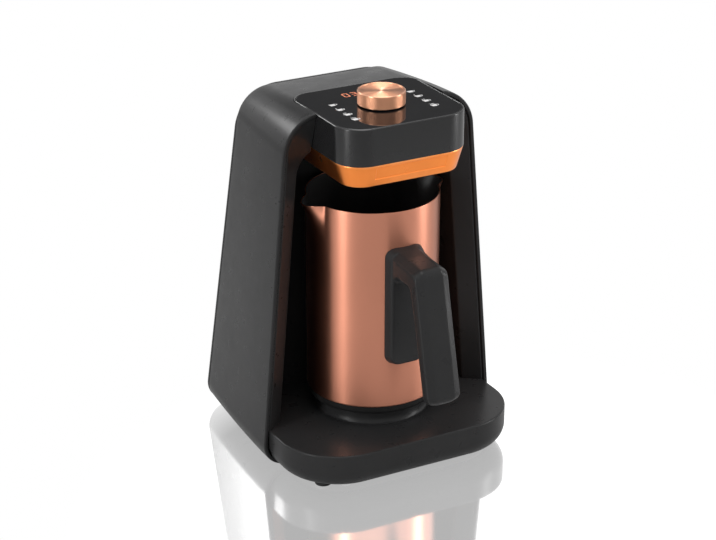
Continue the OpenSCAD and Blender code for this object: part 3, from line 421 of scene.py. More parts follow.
def brushed_knob():
    material, tree, shader = surface(
        "copper_knob", (0.76, 0.37, 0.22), (0.98, 0.78, 0.62), 0.4, 0.04, 1.0, grain=3000.0,
        grain_height=0.00001, grain_strength=0.15, cloud=60.0, edge=0.6)
    coords = add(tree, "ShaderNodeTexCoord").outputs["Object"]
    split = add(tree, "ShaderNodeSeparateXYZ")
    tree.links.new(coords, split.inputs[0])
    flat = add(tree, "ShaderNodeCombineXYZ")
    tree.links.new(split.outputs["X"], flat.inputs["X"])
    tree.links.new(split.outputs["Y"], flat.inputs["Y"])
    length = add(tree, "ShaderNodeVectorMath", operation="LENGTH")
    tree.links.new(flat.outputs[0], length.inputs[0])
    rings = add(tree, "ShaderNodeTexNoise", noise_dimensions="1D", in_Scale=9000.0, in_Detail=2.0)
    tree.links.new(length.outputs["Value"], rings.inputs["W"])
    bump = add(tree, "ShaderNodeBump")
    bump.inputs["Strength"].default_value = 0.12
    bump.inputs["Distance"].default_value = 0.00001
    tree.links.new(rings.outputs["Fac"], bump.inputs["Height"])
    tree.links.new(bump.outputs["Normal"], shader.inputs["Normal"])
    turned_tangent(tree, shader, 0.9)
    return material


MATERIALS = {
    "black_satin": simple("satin_black", (0.026, 0.026, 0.0265), (0.05, 0.05, 0.05), 0.3, 0.04,
                          grain=2600.0, grain_height=0.00003, grain_strength=0.3, edge=0.12,
                          Specular_IOR_Level=0.14),
    "black_gloss": simple("gloss_black", (0.012, 0.012, 0.0125), (0.06, 0.06, 0.06), 0.2, 0.03,
                          grain=1500.0, grain_height=0.00001, grain_strength=0.1,
                          Specular_IOR_Level=0.4),
    "black_inner": simple("matte_black", (0.009, 0.009, 0.009), (0.05, 0.05, 0.05), 0.5, 0.06,
                          Specular_IOR_Level=0.2),
    "dark_glass": simple("panel_glass", (0.006, 0.006, 0.007), (0.05, 0.05, 0.055), 0.035, 0.012,
                         grain=60.0, grain_height=0.000004, grain_strength=0.05, edge=0.2,
                         Specular_IOR_Level=0.35),
    "rubber": simple("rubber_black", (0.018, 0.018, 0.018), (0.06, 0.06, 0.06), 0.75, 0.08,
                     grain=1600.0, grain_height=0.00006, grain_strength=0.5),
    "steel": simple("brushed_steel", (0.56, 0.56, 0.57), (0.8, 0.8, 0.8), 0.3, 0.07, 1.0,
                    grain=1800.0, stretch=(1.0, 0.1, 1.0)),
    "contact_brass": simple("brass", (0.66, 0.47, 0.2), (0.9, 0.75, 0.45), 0.28, 0.06, 1.0),
    "aluminium": simple("cast_aluminium", (0.66, 0.66, 0.67), (0.85, 0.85, 0.85), 0.42, 0.08, 1.0,
                        grain=900.0),
    "relay_plastic": simple("relay_blue", (0.03, 0.09, 0.3), (0.15, 0.25, 0.5), 0.28, 0.05),
    "display_red": simple("display_window", (0.05, 0.006, 0.004), (0.2, 0.03, 0.02), 0.22, 0.04),
    "lens_red": simple("sensor_window", (0.12, 0.006, 0.006), (0.3, 0.05, 0.04), 0.12, 0.03),
    "nylon": simple("nylon_white", (0.72, 0.71, 0.67), (0.85, 0.84, 0.8), 0.42, 0.05),
    "copper_plated": simple("copper_plating", (0.97, 0.29, 0.065), (1.0, 0.6, 0.3), 0.3, 0.03, 1.0,
                            grain=1500.0, grain_height=0.00001, grain_strength=0.12, edge=0.5),
    "board": board_material(),
    "winding": winding_material(),
    "copper_metal": brushed_pot(),
    "copper_aluminium": brushed_knob(),
}
PRINT_WHITE = simple("print_white", (0.86, 0.86, 0.86), (0.95, 0.95, 0.95), 0.5, 0.05)
DIGIT_GLOW = simple("digit_glow", (0.75, 0.2, 0.09), (0.9, 0.4, 0.2), 0.45, 0.05,
                    Emission_Color=(0.8, 0.2, 0.08, 1.0), Emission_Strength=0.25)
POT_INSIDE = simple("pot_coating", (0.012, 0.011, 0.011), (0.1, 0.08, 0.07), 0.4, 0.05)


def piece(obj, body, slot, *nodes, material=None, angle=SHARP_ANGLE, normals=True):
    """Finishes a new piece: shading, the material of its slot, its body, and hides the CAD nodes it
    stands for.
    """
    tidy(obj, angle)
    if normals:
        weighted(obj)
    obj.data.materials.clear()
    obj.data.materials.append(material or MATERIALS[slot])
    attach(obj, body)
    if nodes:
        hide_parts(*nodes)


# ---- CAD nodes that stay get their material; the ones below are replaced by finer pieces
slots = {part["node"]: part["material_slot"] for part in frame["record"]["subparts"]}
for node, obj in frame["nodes"].items():
    obj.data.materials.clear()
    obj.data.materials.append(MATERIALS[slots[node]])

# ---- outer shell: one skin from the inner front edge over the rim to the rear edge and back
SHARES, LAST_SHARE = [0.06, 0.13, 0.2, 0.28, 0.36, 0.44, 0.52, 0.6, 0.68, 0.76, 0.84, 0.92], 0.994
RIM = ((SHELL_WALL, 0.8), (SHELL_WALL - 0.35, 0.2), (SHELL_WALL - 0.9, 0.0), (1.0, 0.0),
       (0.6, 0.06), (0.28, 0.28), (0.08, 0.6), (0.0, 1.0))
REAR_CHAMFER, HEAD_CLEAR, FRONT_CUT = 0.3, 0.4, 9
loops = [at_y(full(housing(i)), y_front + y) for i, y in RIM]
loops += [on_shell(full(housing(0, s)), s) for s in SHARES + [LAST_SHARE]]
loops += [on_shell(full(housing(i, 1)), 1) for i in (REAR_CHAMFER, SHELL_WALL - REAR_CHAMFER)]
loops += [on_shell(full(housing(SHELL_WALL, s)), s) for s in [LAST_SHARE] + SHARES[::-2]]
shell = loft("shell_skin", loops, ring_closed=False, path_closed=True)
cut(shell, prism(head_plan(-HEAD_CLEAR), BODY_H - SHELL_WALL - TOP_FALL - 1, ABOVE))
cut(shell, prism(rectangle(head_half_w + HEAD_CLEAR, y_front - 2, y_front + FRONT_CUT),
                 BODY_H - SHELL_WALL - 1, ABOVE))
piece(shell, "machine", "black_satin", "outer_shell")

# ---- rear cover with its rounded edge, vents, screw seats and cord hole
def cover(inset, depth):
    return on_back(full(housing(inset, 1, COVER_MORE)), depth)


inner_depth = COVER_DEPTH - GAP
loops = [cover(COVER_WALL, COVER_WALL), cover(COVER_WALL, inner_depth), cover(0.3, inner_depth),
         cover(0, inner_depth - 0.3)]
loops += [cover(EDGE_R * (1 - math.cos(a)), EDGE_R * (1 - math.sin(a)))
          for a in (math.radians(d) for d in range(0, 91, 10))]
rear = loft("rear_cover", loops)
back_turn = math.atan(back_slope)


def stand_on_back(obj, x, z):
    """Turns a body whose +Z points out of the machine onto the slanted back."""
    obj.data.transform(Matrix.Rotation(back_turn - math.pi / 2, 4, "X"))
    obj.data.transform(Matrix.Translation(Vector((x, back_y(z), z)) * MM))
    return obj


VENT_ROWS, VENT_PITCH, VENT_HALF, VENT_R = (100, 150), 6, 13.8, 1.2
COVER_SCREWS = ((-52, 62), (52, 62), (-44, 205), (44, 205))
SCREW_HEAD_R, SCREW_SEAT, SCREW_HOLE_R = 3.2, 1.8, 1.7
CORD_X, CORD_Z, CORD_R = 45, 27, 6.5
INSIDE, OUTSIDE = -6, 2
vent = arc(0, VENT_HALF, VENT_R, 0, 180, 8) + arc(0, -VENT_HALF, VENT_R, 180, 360, 8)
cutters = [stand_on_back(prism(vent, INSIDE, OUTSIDE), i * VENT_PITCH, z)
           for z in VENT_ROWS for i in range(-4, 5)]
for x, z in COVER_SCREWS:
    cutters.append(stand_on_back(round_rod(0, 0, -SCREW_SEAT, OUTSIDE, SCREW_HEAD_R, 32), x, z))
    cutters.append(stand_on_back(round_rod(0, 0, INSIDE, 0, SCREW_HOLE_R, 24), x, z))
cutters.append(stand_on_back(round_rod(0, 0, INSIDE, OUTSIDE, CORD_R, 40), CORD_X, CORD_Z))
for cutter in cutters:
    cut(rear, cutter)
piece(rear, "machine", "black_satin", "back_cover")

# ---- arch frame: narrow front face, slanted face, rounded mouth, bay walls and back
BEZEL_W, BEZEL_EDGE, BAY_H, BAY_R, BAY_DEPTH, LINER_WALL = 13, 1.2, 198, 19, 61.5, 2
BAY_CORNER = 3
bezel_inset = SHELL_WALL + GAP
bezel_half = side_x(BASE_H) - bezel_inset / math.cos(lean)
bezel_top, bezel_r = BODY_H - bezel_inset, TOP_R - bezel_inset
bay_half, bay_top = bezel_half - BEZEL_W, BASE_H + BAY_H
bay_back = y_front + BAY_DEPTH
edge_out = arch(bezel_half, bezel_top, bezel_r)
edge_in = arch(bezel_half - BEZEL_EDGE, bezel_top - BEZEL_EDGE, bezel_r - BEZEL_EDGE)
mouth = arch(bay_half, bay_top, BAY_R)
outside = arch(bay_half + LINER_WALL, bay_top + LINER_WALL, BAY_R + LINER_WALL)


def seam(points, y):
    """The ring drawn together on the middle line, which closes the back wall."""
    return [(0.0, y, p[1]) for p in points]


loops = [seam(outside, bay_back + 1.9), at_y(outside, bay_back + 1.9), at_y(outside, y_front + 14),
         at_y(edge_out, y_front + 4), at_y(edge_out, y_front + 1.6),
         at_y(mixed(edge_out, edge_in, 0.3), y_front + 1.25), at_y(edge_in, y_front + 1.2)]
for t in (0.06, 0.2, 0.4, 0.6, 0.8, 0.9):
    loops.append(at_y(mixed(edge_in, mouth, t), y_front + 1.2 + 7.8 * t))
for t, dy in ((0.96, 0.55), (0.985, 1.0), (1.0, 1.9)):
    loops.append(at_y(mixed(edge_in, mouth, t), y_front + 8.2 + dy))
for y in (16, 26, 36, 46, 55, 58.5):
    loops.append(at_y(mouth, y_front + y))
for a in range(15, 91, 15):
    s, c = sin_cos(a)
    inset = BAY_CORNER * (1 - c)
    inner = arch(bay_half - inset, bay_top - inset, BAY_R - inset)
    loops.append(at_y(inner, bay_back - BAY_CORNER + BAY_CORNER * s))
loops.append(seam(inner, bay_back))
bay = loft("arch_frame", loops, ring_closed=False, caps=False)
n_ring = len(edge_out)
bm = bmesh.new()
bm.from_mesh(bay.data)
bm.verts.ensure_lookup_table()
sole = [k * n_ring for k in range(len(loops))]
sole += [k * n_ring + n_ring - 1 for k in range(len(loops) - 2, 0, -1)]
bm.faces.new([bm.verts[k] for k in sole])
bm.to_mesh(bay.data)
bm.free()
cut(bay, prism(head_plan(-GAP), band_z0 - 6, ABOVE))
piece(bay, "machine", "black_satin", "bay_liner")

# ---- base: flat top with a soft edge, straight side, curled lower edge, hollow below
base_front = low("base_tray")[1]
base_half = high("base_tray")[0]
base_rear = bay_back + 2
base_z0 = low("base_tray")[2]
BASE_R, CURL, BASE_WALL, TOP_EDGE, LOW_LIP = 45, 12, 2.5, 1.3, 2.5
CURL_IN, TRAY_DEPTH, SEAT_HOLE_R = 3.2, 63.5, 34
tray_share = TRAY_DEPTH / (back_y(BASE_H) - COVER_DEPTH - y_front)
tray_draft = SIDE_DRAFT * tray_share ** 1.5 + 0.3


def base_plan(inset, more=0.0):
    """Outline of the base from above; more draws the part inside the shell further in."""
    right = arc(base_half - BASE_R, base_front + BASE_R, BASE_R - inset, -90, 0, 26)
    half = base_half - inset
    within = half - more
    right += [(half, mix(base_front + BASE_R, y_front, 0.5)), (half, y_front - 1.4),
              (within, y_front - 0.3), (within, y_front + 8),
              (within - tray_draft, y_front + 14), (within - tray_draft, base_rear)]
    return full(right)


loops = []
for a in range(90, -1, -15):
    s, c = sin_cos(a)
    loops.append(at_z(base_plan(TOP_EDGE * (1 - c)), BASE_H - TOP_EDGE * (1 - s)))
loops.append(at_z(base_plan(0), base_z0 + CURL + 4))
for a in range(0, 91, 9):
    s, c = sin_cos(a)
    loops.append(at_z(base_plan(CURL * (1 - c), CURL_IN * s), base_z0 + CURL * (1 - s)))
loops.append(at_z(base_plan(CURL + 0.8, CURL_IN), base_z0 + 0.1))
loops.append(at_z(base_plan(CURL + 1.0, CURL_IN), base_z0 + LOW_LIP))
for a in range(75, -1, -15):
    s, c = sin_cos(a)
    loops.append(at_z(base_plan(BASE_WALL + (CURL - 1.5) * (1 - c), CURL_IN * s),
                      base_z0 + LOW_LIP + (CURL - LOW_LIP) * (1 - s)))
loops.append(at_z(base_plan(BASE_WALL), BASE_H - BASE_WALL))
base = loft("base_cover", loops)
cut(base, round_rod(0, pot_y, BASE_H - 6, BASE_H + 2, SEAT_HOLE_R, 96))
piece(base, "machine", "black_satin", "base_tray")

# ---- seat of the pot
SEAT_R, SEAT_TOP_R, SOCKET_R, SEAT_EDGE = 41, 38.5, 13, 1.4
SOCKET_GROOVE, SEAT_NECK_R, SEAT_WALL_R, SEAT_T, SEAT_HOLLOW = (17, 19), 33.8, 31.5, 3, 0.55
seat_z = high("pot_seat")[2]
hole_r = SOCKET_R + GAP
groove_in, groove_out = SOCKET_GROOVE
profile = [(hole_r, seat_z - SEAT_T), (hole_r, seat_z - 0.4), (hole_r + 0.4, seat_z),
           (groove_in, seat_z), (groove_in + 0.4, seat_z - 0.5), (groove_out - 0.4, seat_z - 0.5),
           (groove_out, seat_z), (SEAT_TOP_R - SEAT_EDGE, seat_z)]
for a in (22, 45, 67, 90):
    s, c = sin_cos(a)
    profile.append((SEAT_TOP_R - SEAT_EDGE + SEAT_EDGE * s, seat_z - SEAT_EDGE + SEAT_EDGE * c))
for a in range(0, 80, 10):
    s, c = sin_cos(a)
    profile.append((SEAT_R - (SEAT_R - SEAT_TOP_R) * c,
                    BASE_H + (seat_z - BASE_H - 1) * (1 - s) * SEAT_HOLLOW))
profile += [(SEAT_R, BASE_H + 0.02), (SEAT_NECK_R, BASE_H + 0.02), (SEAT_NECK_R, BASE_H - 2.5),
            (SEAT_WALL_R, BASE_H - 2.5), (SEAT_WALL_R, seat_z - SEAT_T)]
piece(lathe("seat_dish", profile, pot_y, 144), "machine", "black_satin", "pot_seat")

# ---- control head: black body, copper band, glass with its printed signs
loops = [at_z(head_plan(i), z) for i, z in (
    (2.2, head_z0), (0.5, head_z0), (0.12, head_z0 + 0.12), (0, head_z0 + 0.5),
    (0, mix(head_z0, glass_z, 0.5)), (0, glass_z - 0.9), (0.07, glass_z - 0.55),
    (0.26, glass_z - 0.26), (0.55, glass_z - 0.07), (0.9, glass_z), (1.25, glass_z),
    (1.4, glass_z - 0.15), (1.4, glass_z - 2), (4, glass_z - 2), (4, glass_z - 4),
    (2.2, glass_z - 4))]
body = loft("head_body", loops, path_closed=True)
piece(body, "machine", "black_gloss", "head_housing")

loops = [at_z(head_plan(GLASS_INSET + i), z) for i, z in (
    (0.1, glass_z - 2), (0, glass_z - 1.8), (0, glass_z - 0.4), (0.12, glass_z - 0.12),
    (0.4, glass_z))]
glass = loft("control_pane", loops)
cut(glass, round_rod(0, knob_y, glass_z - 4, glass_z + 2, GLASS_HOLE_R))
piece(glass, "machine", "dark_glass", "control_glass")

BAND_TOP, BAND_TAPER, BAND_WALL = 0.2, 4.5, 1.6
RECESS_X0, RECESS_X1, RECESS, RECESS_EDGE = -26.0, 27.5, 0.55, 0.25


def band_plan(inset, sunk):
    """The head's outline with extra points along the front for the recessed strip."""
    r = HEAD_FRONT_R - inset
    y0 = head_front_y + inset
    w = head_half_w - inset
    xs = (RECESS_X0 - RECESS_EDGE, RECESS_X0 + RECESS_EDGE, -13, 0, 13,
          RECESS_X1 - RECESS_EDGE, RECESS_X1 + RECESS_EDGE)
    front = [(x, y0 + (sunk if RECESS_X0 < x < RECESS_X1 else 0.0)) for x in xs]
    right = arc(w - r, y0 + r, r, -90, 0, 20)
    right += arc(w - HEAD_REAR_R, head_rear_y - inset - HEAD_REAR_R, HEAD_REAR_R, 0, 90, 12)
    return right + mirrored(right) + front


def band_ring(t, extra=0.0, sunk=0.0):
    z = mix(head_z0 - GAP, band_z0, t)
    return at_z(band_plan(BAND_TOP + BAND_TAPER * t + extra, sunk), z)


loops = [band_ring(0.0, 1.5), band_ring(0.0, 0.25), band_ring(0.02)]
loops += [band_ring(t, 0, s)
          for t, s in ((0.11, 0), (0.14, RECESS), (0.4, RECESS), (0.66, RECESS), (0.69, 0))]
loops += [band_ring(0.95), band_ring(0.985, 0.12), band_ring(1.0, 0.5), band_ring(1.0, BAND_WALL),
          band_ring(0.5, BAND_WALL)]
band = loft("copper_trim", loops, path_closed=True)
piece(band, "machine", "copper_plated", "copper_band", angle=25.0)


PRINT_Z, PRINT_T = glass_z + 0.01, 0.06


def printed(name, shapes):
    """Thin printed shapes on the glass, each a closed outline in X and Y."""
    obj = joined([loft("sign", [at_z(s, PRINT_Z), at_z(s, PRINT_Z + PRINT_T)]) for s in shapes])
    obj.name = name
    return obj


def stroke(points, width):
    """Outline of a bent line of the given width."""
    left, right = [], []
    for i, p in enumerate(points):
        a = points[max(i - 1, 0)]
        b = points[min(i + 1, len(points) - 1)]
        d = Vector((b[0] - a[0], b[1] - a[1])).normalized()
        n = Vector((-d.y, d.x)) * width / 2
        left.append((p[0] + n.x, p[1] + n.y))
        right.append((p[0] - n.x, p[1] - n.y))
    return left + right[::-1]


def cup_sign(x, y, size, marks):
    """A small cup with a handle and up to three strokes of steam over it."""
    def at(u, v):
        return (x + u * size, y + v * size)

    shapes = [[at(-0.42, 0.12), at(-0.3, -0.4), at(0.18, -0.4), at(0.3, 0.12)],
              stroke([at(0.26, 0.05), at(0.5, -0.02), at(0.42, -0.24), at(0.2, -0.26)],
                     0.09 * size)]
    for m in range(marks):
        u = -0.25 + 0.2 * m
        shapes.append(stroke([at(u, 0.22), at(u + 0.04, 0.34), at(u - 0.02, 0.48)], 0.08 * size))
    return shapes


SIGN_X, SIGN_Y, SIGN_PITCH, SIGN_SIZE = 30, knob_y + 13.8, 10.8, 6.4
signs = []
for side in (-1, 1):
    for i in range(4):
        signs += cup_sign(side * SIGN_X, SIGN_Y - i * SIGN_PITCH, SIGN_SIZE, i)
piece(printed("panel_signs", signs), "machine", "nylon", material=PRINT_WHITE, normals=False)

DIGIT_W, DIGIT_H, DIGIT_GAP, STROKE_W = 3.6, 6.4, 0.12, 0.9
DIGIT_Y = knob_y + 23.6


def digit(x, segments):
    """Seven-segment digit: a to f run round it from the top, clockwise, and g is the middle."""
    y, w, h, g = DIGIT_Y, DIGIT_W, DIGIT_H, DIGIT_GAP
    lines = {"a": ((x + g, y + h), (x + w - g, y + h)),
             "b": ((x + w, y + h - g), (x + w, y + h / 2 + g)),
             "c": ((x + w, y + h / 2 - g), (x + w, y + g)),
             "d": ((x + g, y), (x + w - g, y)),
             "e": ((x, y + h / 2 - g), (x, y + g)),
             "f": ((x, y + h - g), (x, y + h / 2 + g)),
             "g": ((x + g, y + h / 2), (x + w - g, y + h / 2))}
    return [stroke(list(lines[name]), STROKE_W) for name in segments]


digits = digit(-14.5, "abcdef") + digit(-8.2, "abgcd")
piece(printed("panel_digits", digits), "machine", "display_red", material=DIGIT_GLOW, normals=False)

# ---- knob: knurled side, chamfered rim and turned dish
knob_r = high("knob_shell")[0]
knob_low, knob_high = low("knob_shell")[2], high("knob_shell")[2]
KNURLS, KNURL_DEPTH, AXIS_R = 150, 0.07, 0.02
knurl_low, knurl_high = knob_low + 1.0, knob_high - 1.2


def knurl(r, z, a):
    if r < knob_r - 0.01 or z < knurl_low or z > knurl_high:
        return r
    return r - KNURL_DEPTH * (0.5 + 0.5 * math.cos(KNURLS * a))


core_top = knob_high - 1.3
profile = [(AXIS_R, core_top), (knob_r - 1.3, core_top), (knob_r - 1.3, knob_low),
           (knob_r - 0.35, knob_low), (knob_r - 0.1, knob_low + 0.1), (knob_r, knob_low + 0.35),
           (knob_r, knob_low + 0.9), (knob_r, knob_low + 1.05),
           (knob_r, mix(knob_low, knob_high, 0.5)), (knob_r, knob_high - 1.25),
           (knob_r, knob_high - 1.1), (knob_r, knob_high - 0.6), (knob_r - 0.15, knob_high - 0.22),
           (knob_r - 0.5, knob_high), (knob_r - 1.2, knob_high), (knob_r - 1.45, knob_high - 0.12),
           (knob_r - 1.6, knob_high - 0.4), (knob_r * 0.6, knob_high - 0.55),
           (knob_r * 0.25, knob_high - 0.62), (AXIS_R, knob_high - 0.64)]
cap = lathe("knob_cap", profile, knob_y, KNURLS * 4, radius=knurl)
piece(cap, "knob", "copper_aluminium", "knob_shell")

# ---- pot
POT_FOOT_R, POT_R, POT_WALL = 46.1, 46.6, 1.0
LIP_OUT, LIP_HALF, LIP_H, DROOP, RIM_R = 8.0, 18.0, 28.0, 1.2, 0.35
pot_z0, rim_z = low("pot_body")[2], high("pot_body")[2]
POT_H = rim_z - pot_z0
floor_z = pot_z0 + 17.5
angles = [a * 1.0 for a in range(-24, 25)] + [a * 2.0 for a in range(13, 78)]
angles += [180.0 + a for a in range(-24, 25)] + [180.0 + a * 2.0 for a in range(13, 78)]


def pot_ring(z, inset):
    """Ring of the pot's cone at a height, drawn out and down at the two pouring lips."""
    ring = []
    for a in angles:
        away = min(abs(a), abs(a - 180), abs(a - 360))
        t = away / LIP_HALF
        lip = 0.0 if t >= 1 else math.cos(math.pi / 2 * t) ** 1.3
        lip *= max(0.0, 1 - (rim_z - z) / LIP_H) ** 2
        r = POT_FOOT_R + (POT_R - POT_FOOT_R) * (z - pot_z0) / POT_H - inset + LIP_OUT * lip
        s, c = sin_cos(a)
        ring.append((r * c, pot_y + r * s, z - DROOP * lip))
    return ring


lip_z = [rim_z - LIP_H * (1 - t / 16) for t in range(1, 16)]
lower_z = [mix(pot_z0 + 1.2, rim_z - LIP_H, t) for t in (0, 0.2, 0.4, 0.6, 0.8, 1)]
loops = [pot_ring(floor_z, POT_WALL + 3), pot_ring(floor_z + 0.3, POT_WALL + 1.6),
         pot_ring(floor_z + 1.2, POT_WALL + 0.5), pot_ring(floor_z + 3, POT_WALL),
         pot_ring(mix(floor_z, rim_z, 0.4), POT_WALL)]
inner_count = len(loops) + len(lip_z) + 1
loops += [pot_ring(z, POT_WALL) for z in lip_z] + [pot_ring(rim_z - RIM_R, POT_WALL)]
for a in range(20, 161, 20):
    s, c = sin_cos(a)
    loops.append(pot_ring(rim_z - RIM_R + RIM_R * s, POT_WALL / 2 + POT_WALL / 2 * c))
loops += [pot_ring(z, 0) for z in [rim_z - RIM_R] + lip_z[::-1] + lower_z[::-1]]
loops += [pot_ring(pot_z0 + 0.5, 0.15), pot_ring(pot_z0 + 0.1, 0.5), pot_ring(pot_z0, 0.8),
          pot_ring(pot_z0 + 0.2, POT_WALL), pot_ring(floor_z - 1.2, POT_WALL),
          pot_ring(floor_z - 1.2, POT_WALL + 3)]
pot = loft("pot_wall", loops)
n_ring = len(angles)
pot.data.materials.append(MATERIALS["copper_metal"])
pot.data.materials.append(POT_INSIDE)
for poly in pot.data.polygons:
    if max(v // n_ring for v in poly.vertices) < inner_count:
        poly.material_index = 1
tidy(pot)
weighted(pot)
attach(pot, "pot")
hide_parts("pot_body")

# ---- handle: bridge and slanting grip swept as one, pad on the pot, blended by a fine remesh
GRIP_TILT = 13.5
GRIP_HALF, GRIP_T, GRIP_ANGLE, GRIP_REACH = 12.6, 14.0, math.radians(GRIP_TILT), 82.4
HANDLE_TOP, GRIP_LOW, GRIP_END_R = 165.5, 68.5, 6.5
BRIDGE_T, BRIDGE_DROP, PAD_LOW, PAD_OUT = 19.0, 4.5, 78.5, 5.0
GRIP_TOP_Z = HANDLE_TOP - 5.5
CORNER_R, HOLLOW_R, TOP_TURN = 6.0, 7.0, 88
SCREW_R, SCREW_DEPTH = 3.1, 1.7
slope = math.tan(GRIP_ANGLE)
grip_end_z = (GRIP_LOW + GRIP_END_R * math.cos(GRIP_ANGLE)
              + (GRIP_T - GRIP_END_R) * math.sin(GRIP_ANGLE))
pot_front = pot_y - POT_R
pad_front = pot_front - PAD_OUT
arm_start = pot_front + 3
bridge_low = HANDLE_TOP - BRIDGE_T


def grip_front_y(z):
    return pot_y - GRIP_REACH - (GRIP_TOP_Z - z) * slope


top_cz = HANDLE_TOP - BRIDGE_DROP - CORNER_R
top_c = Vector((grip_front_y(top_cz) + CORNER_R / math.cos(GRIP_ANGLE), top_cz))
along = Vector((-math.sin(GRIP_ANGLE), -math.cos(GRIP_ANGLE)))
through = Vector((math.cos(GRIP_ANGLE), -math.sin(GRIP_ANGLE)))
grip_end = Vector((grip_front_y(grip_end_z), grip_end_z))
inner_z = bridge_low - HOLLOW_R
inner_c = Vector((grip_front_y(inner_z) + (GRIP_T + HOLLOW_R) / math.cos(GRIP_ANGLE), inner_z))
pad_c = Vector((pad_front - HOLLOW_R + 0.4, bridge_low - HOLLOW_R))


def on_arc(centre, r, degrees):
    s, c = sin_cos(degrees)
    return centre + Vector((c, s)) * r


def arm_ring(outer, inner, half, out_w, out_d, in_w, in_d):
    """Section of the handle between an outer and an inner point in Y and Z, with eight chamfers."""
    run = inner - outer
    depth = run.length
    corners = [(-(half - out_w), 0), (half - out_w, 0), (half, out_d), (half, depth - in_d),
               (half - in_w, depth), (-(half - in_w), depth), (-half, depth - in_d), (-half, out_d)]
    ring = []
    for i, p in enumerate(corners):
        p = Vector(p)
        before, after = Vector(corners[i - 1]), Vector(corners[(i + 1) % 8])
        for q, d in ((before, 1.3), (before, 0.45), (after, 0.45), (after, 1.3)):
            v = p + (q - p).normalized() * d
            m = outer + run * (v.y / depth)
            ring.append((v.x, m.x, m.y))
    return ring


def bridge_ring(outer, inner):
    return arm_ring(outer, inner, GRIP_HALF, 5.5, 4, 2.6, 2.6)


def corner_ring(t):
    return arm_ring(on_arc(top_c, CORNER_R, mix(TOP_TURN, 180 - GRIP_TILT, t)),
                    on_arc(inner_c, HOLLOW_R, mix(90, 180 - GRIP_TILT, t)),
                    GRIP_HALF, mix(5.5, 5.3, t), mix(4, 2, t), mix(2.6, 5, t), mix(2.6, 4.8, t))


def grip_ring(front, inset):
    return arm_ring(front + through * inset, front + through * (GRIP_T - inset),
                    GRIP_HALF - inset * 1.25, 5.3 - inset * 0.5, 2, 5 - inset * 0.5,
                    4.8 - inset * 0.6)


top_y = on_arc(top_c, CORNER_R, TOP_TURN).x
rings = [bridge_ring(Vector((arm_start, HANDLE_TOP)), Vector((arm_start, bridge_low - HOLLOW_R)))]
for a in range(0, 91, 15):
    t = 0.15 + 0.35 * a / 90
    crest = Vector((mix(arm_start, top_y, t), HANDLE_TOP - BRIDGE_DROP * sin_cos(90 * t)[0]))
    rings.append(bridge_ring(crest, on_arc(pad_c, HOLLOW_R, a)))
rings += [corner_ring(t / 10) for t in range(11)]
rings += [grip_ring(Vector((grip_front_y(z), z)), 0)
          for z in (inner_z - 12, inner_z - 26, inner_z - 40, inner_z - 52)]
for a in range(0, 91, 12):
    s, c = sin_cos(a)
    rings.append(grip_ring(grip_end + along * GRIP_END_R * s, GRIP_END_R * (1 - c)))
rings.append(grip_ring(grip_end + along * GRIP_END_R, GRIP_END_R))
arm = loft("handle_grip", rings)
tidy(arm)


def pad_plan(inset):
    half = GRIP_HALF + 2 - inset
    rl, rh = 8 - inset * 0.5, 7.5 - inset * 0.3
    return full(arc(half - rl, PAD_LOW + inset + rl, rl, -90, 0, 12)
                + arc(half - rh, HANDLE_TOP - inset - rh, rh, 0, 90, 12))


pad = loft("pad", [at_y(pad_plan(i), y) for i, y in (
    (3.0, pad_front), (2.4, pad_front + 0.1), (1.8, pad_front + 0.5), (1.4, pad_front + 1.1),
    (-0.3, arm_start))])
tidy(pad)
VOXEL, QUICK_VOXEL, POT_CLEAR = 0.55, 0.9, 0.12
union = arm.modifiers.new("union", "BOOLEAN")
union.operation, union.solver, union.object = "UNION", "EXACT", pad
apply_modifiers(arm)
bpy.data.objects.remove(pad)
remesh = arm.modifiers.new("remesh", "REMESH")
remesh.mode, remesh.voxel_size = "VOXEL", VOXEL * MM
apply_modifiers(arm)
soften = arm.modifiers.new("soften", "SMOOTH")
soften.factor, soften.iterations = 0.5, 6
apply_modifiers(arm)
cut(arm, round_rod(0, pot_y, PAD_LOW - 8, HANDLE_TOP + 15, POT_R + POT_CLEAR, 200))
cut(arm, round_rod(0, (pad_c.x + inner_c.x) / 2, bridge_low - 3, bridge_low + SCREW_DEPTH,
                   SCREW_R, 32))
piece(arm, "pot", "black_satin", "handle", normals=False, angle=50.0)

# ---- foot ring under the pot's wall
RING_HOLE_R, RING_FLOOR, RING_WALL_H = 18.2, 2.4, 4
FOOT_SCREWS, FOOT_SCREWS_R, FOOT_SCREW_SEAT = (30, 150, 270), 36.2, 2.2
ring_low = low("foot_ring")[2]
ring_top = pot_z0 + RING_WALL_H
profile = [(RING_HOLE_R, ring_low), (POT_FOOT_R - 3.2, ring_low),
           (POT_FOOT_R - 2.2, ring_low + 0.3), (POT_FOOT_R - 1.5, ring_low + 1.2),
           (POT_FOOT_R - 1.25, ring_low + RING_FLOOR), (POT_FOOT_R - 1.2, pot_z0 - 0.3),
           (POT_FOOT_R - 1.4, pot_z0 - 0.05), (POT_FOOT_R - 1.25, pot_z0 - 0.05),
           (POT_FOOT_R - 1.25, ring_top), (POT_FOOT_R - 2.85, ring_top),
           (POT_FOOT_R - 2.85, ring_low + RING_FLOOR), (RING_HOLE_R, ring_low + RING_FLOOR)]
ring = lathe("foot_band", profile, pot_y, 144)
for a in FOOT_SCREWS:
    s, c = sin_cos(a)
    cut(ring, round_rod(FOOT_SCREWS_R * c, pot_y + FOOT_SCREWS_R * s, ring_low - 1,
                        ring_low + FOOT_SCREW_SEAT, 3, 32))
piece(ring, "pot", "black_inner", "foot_ring")

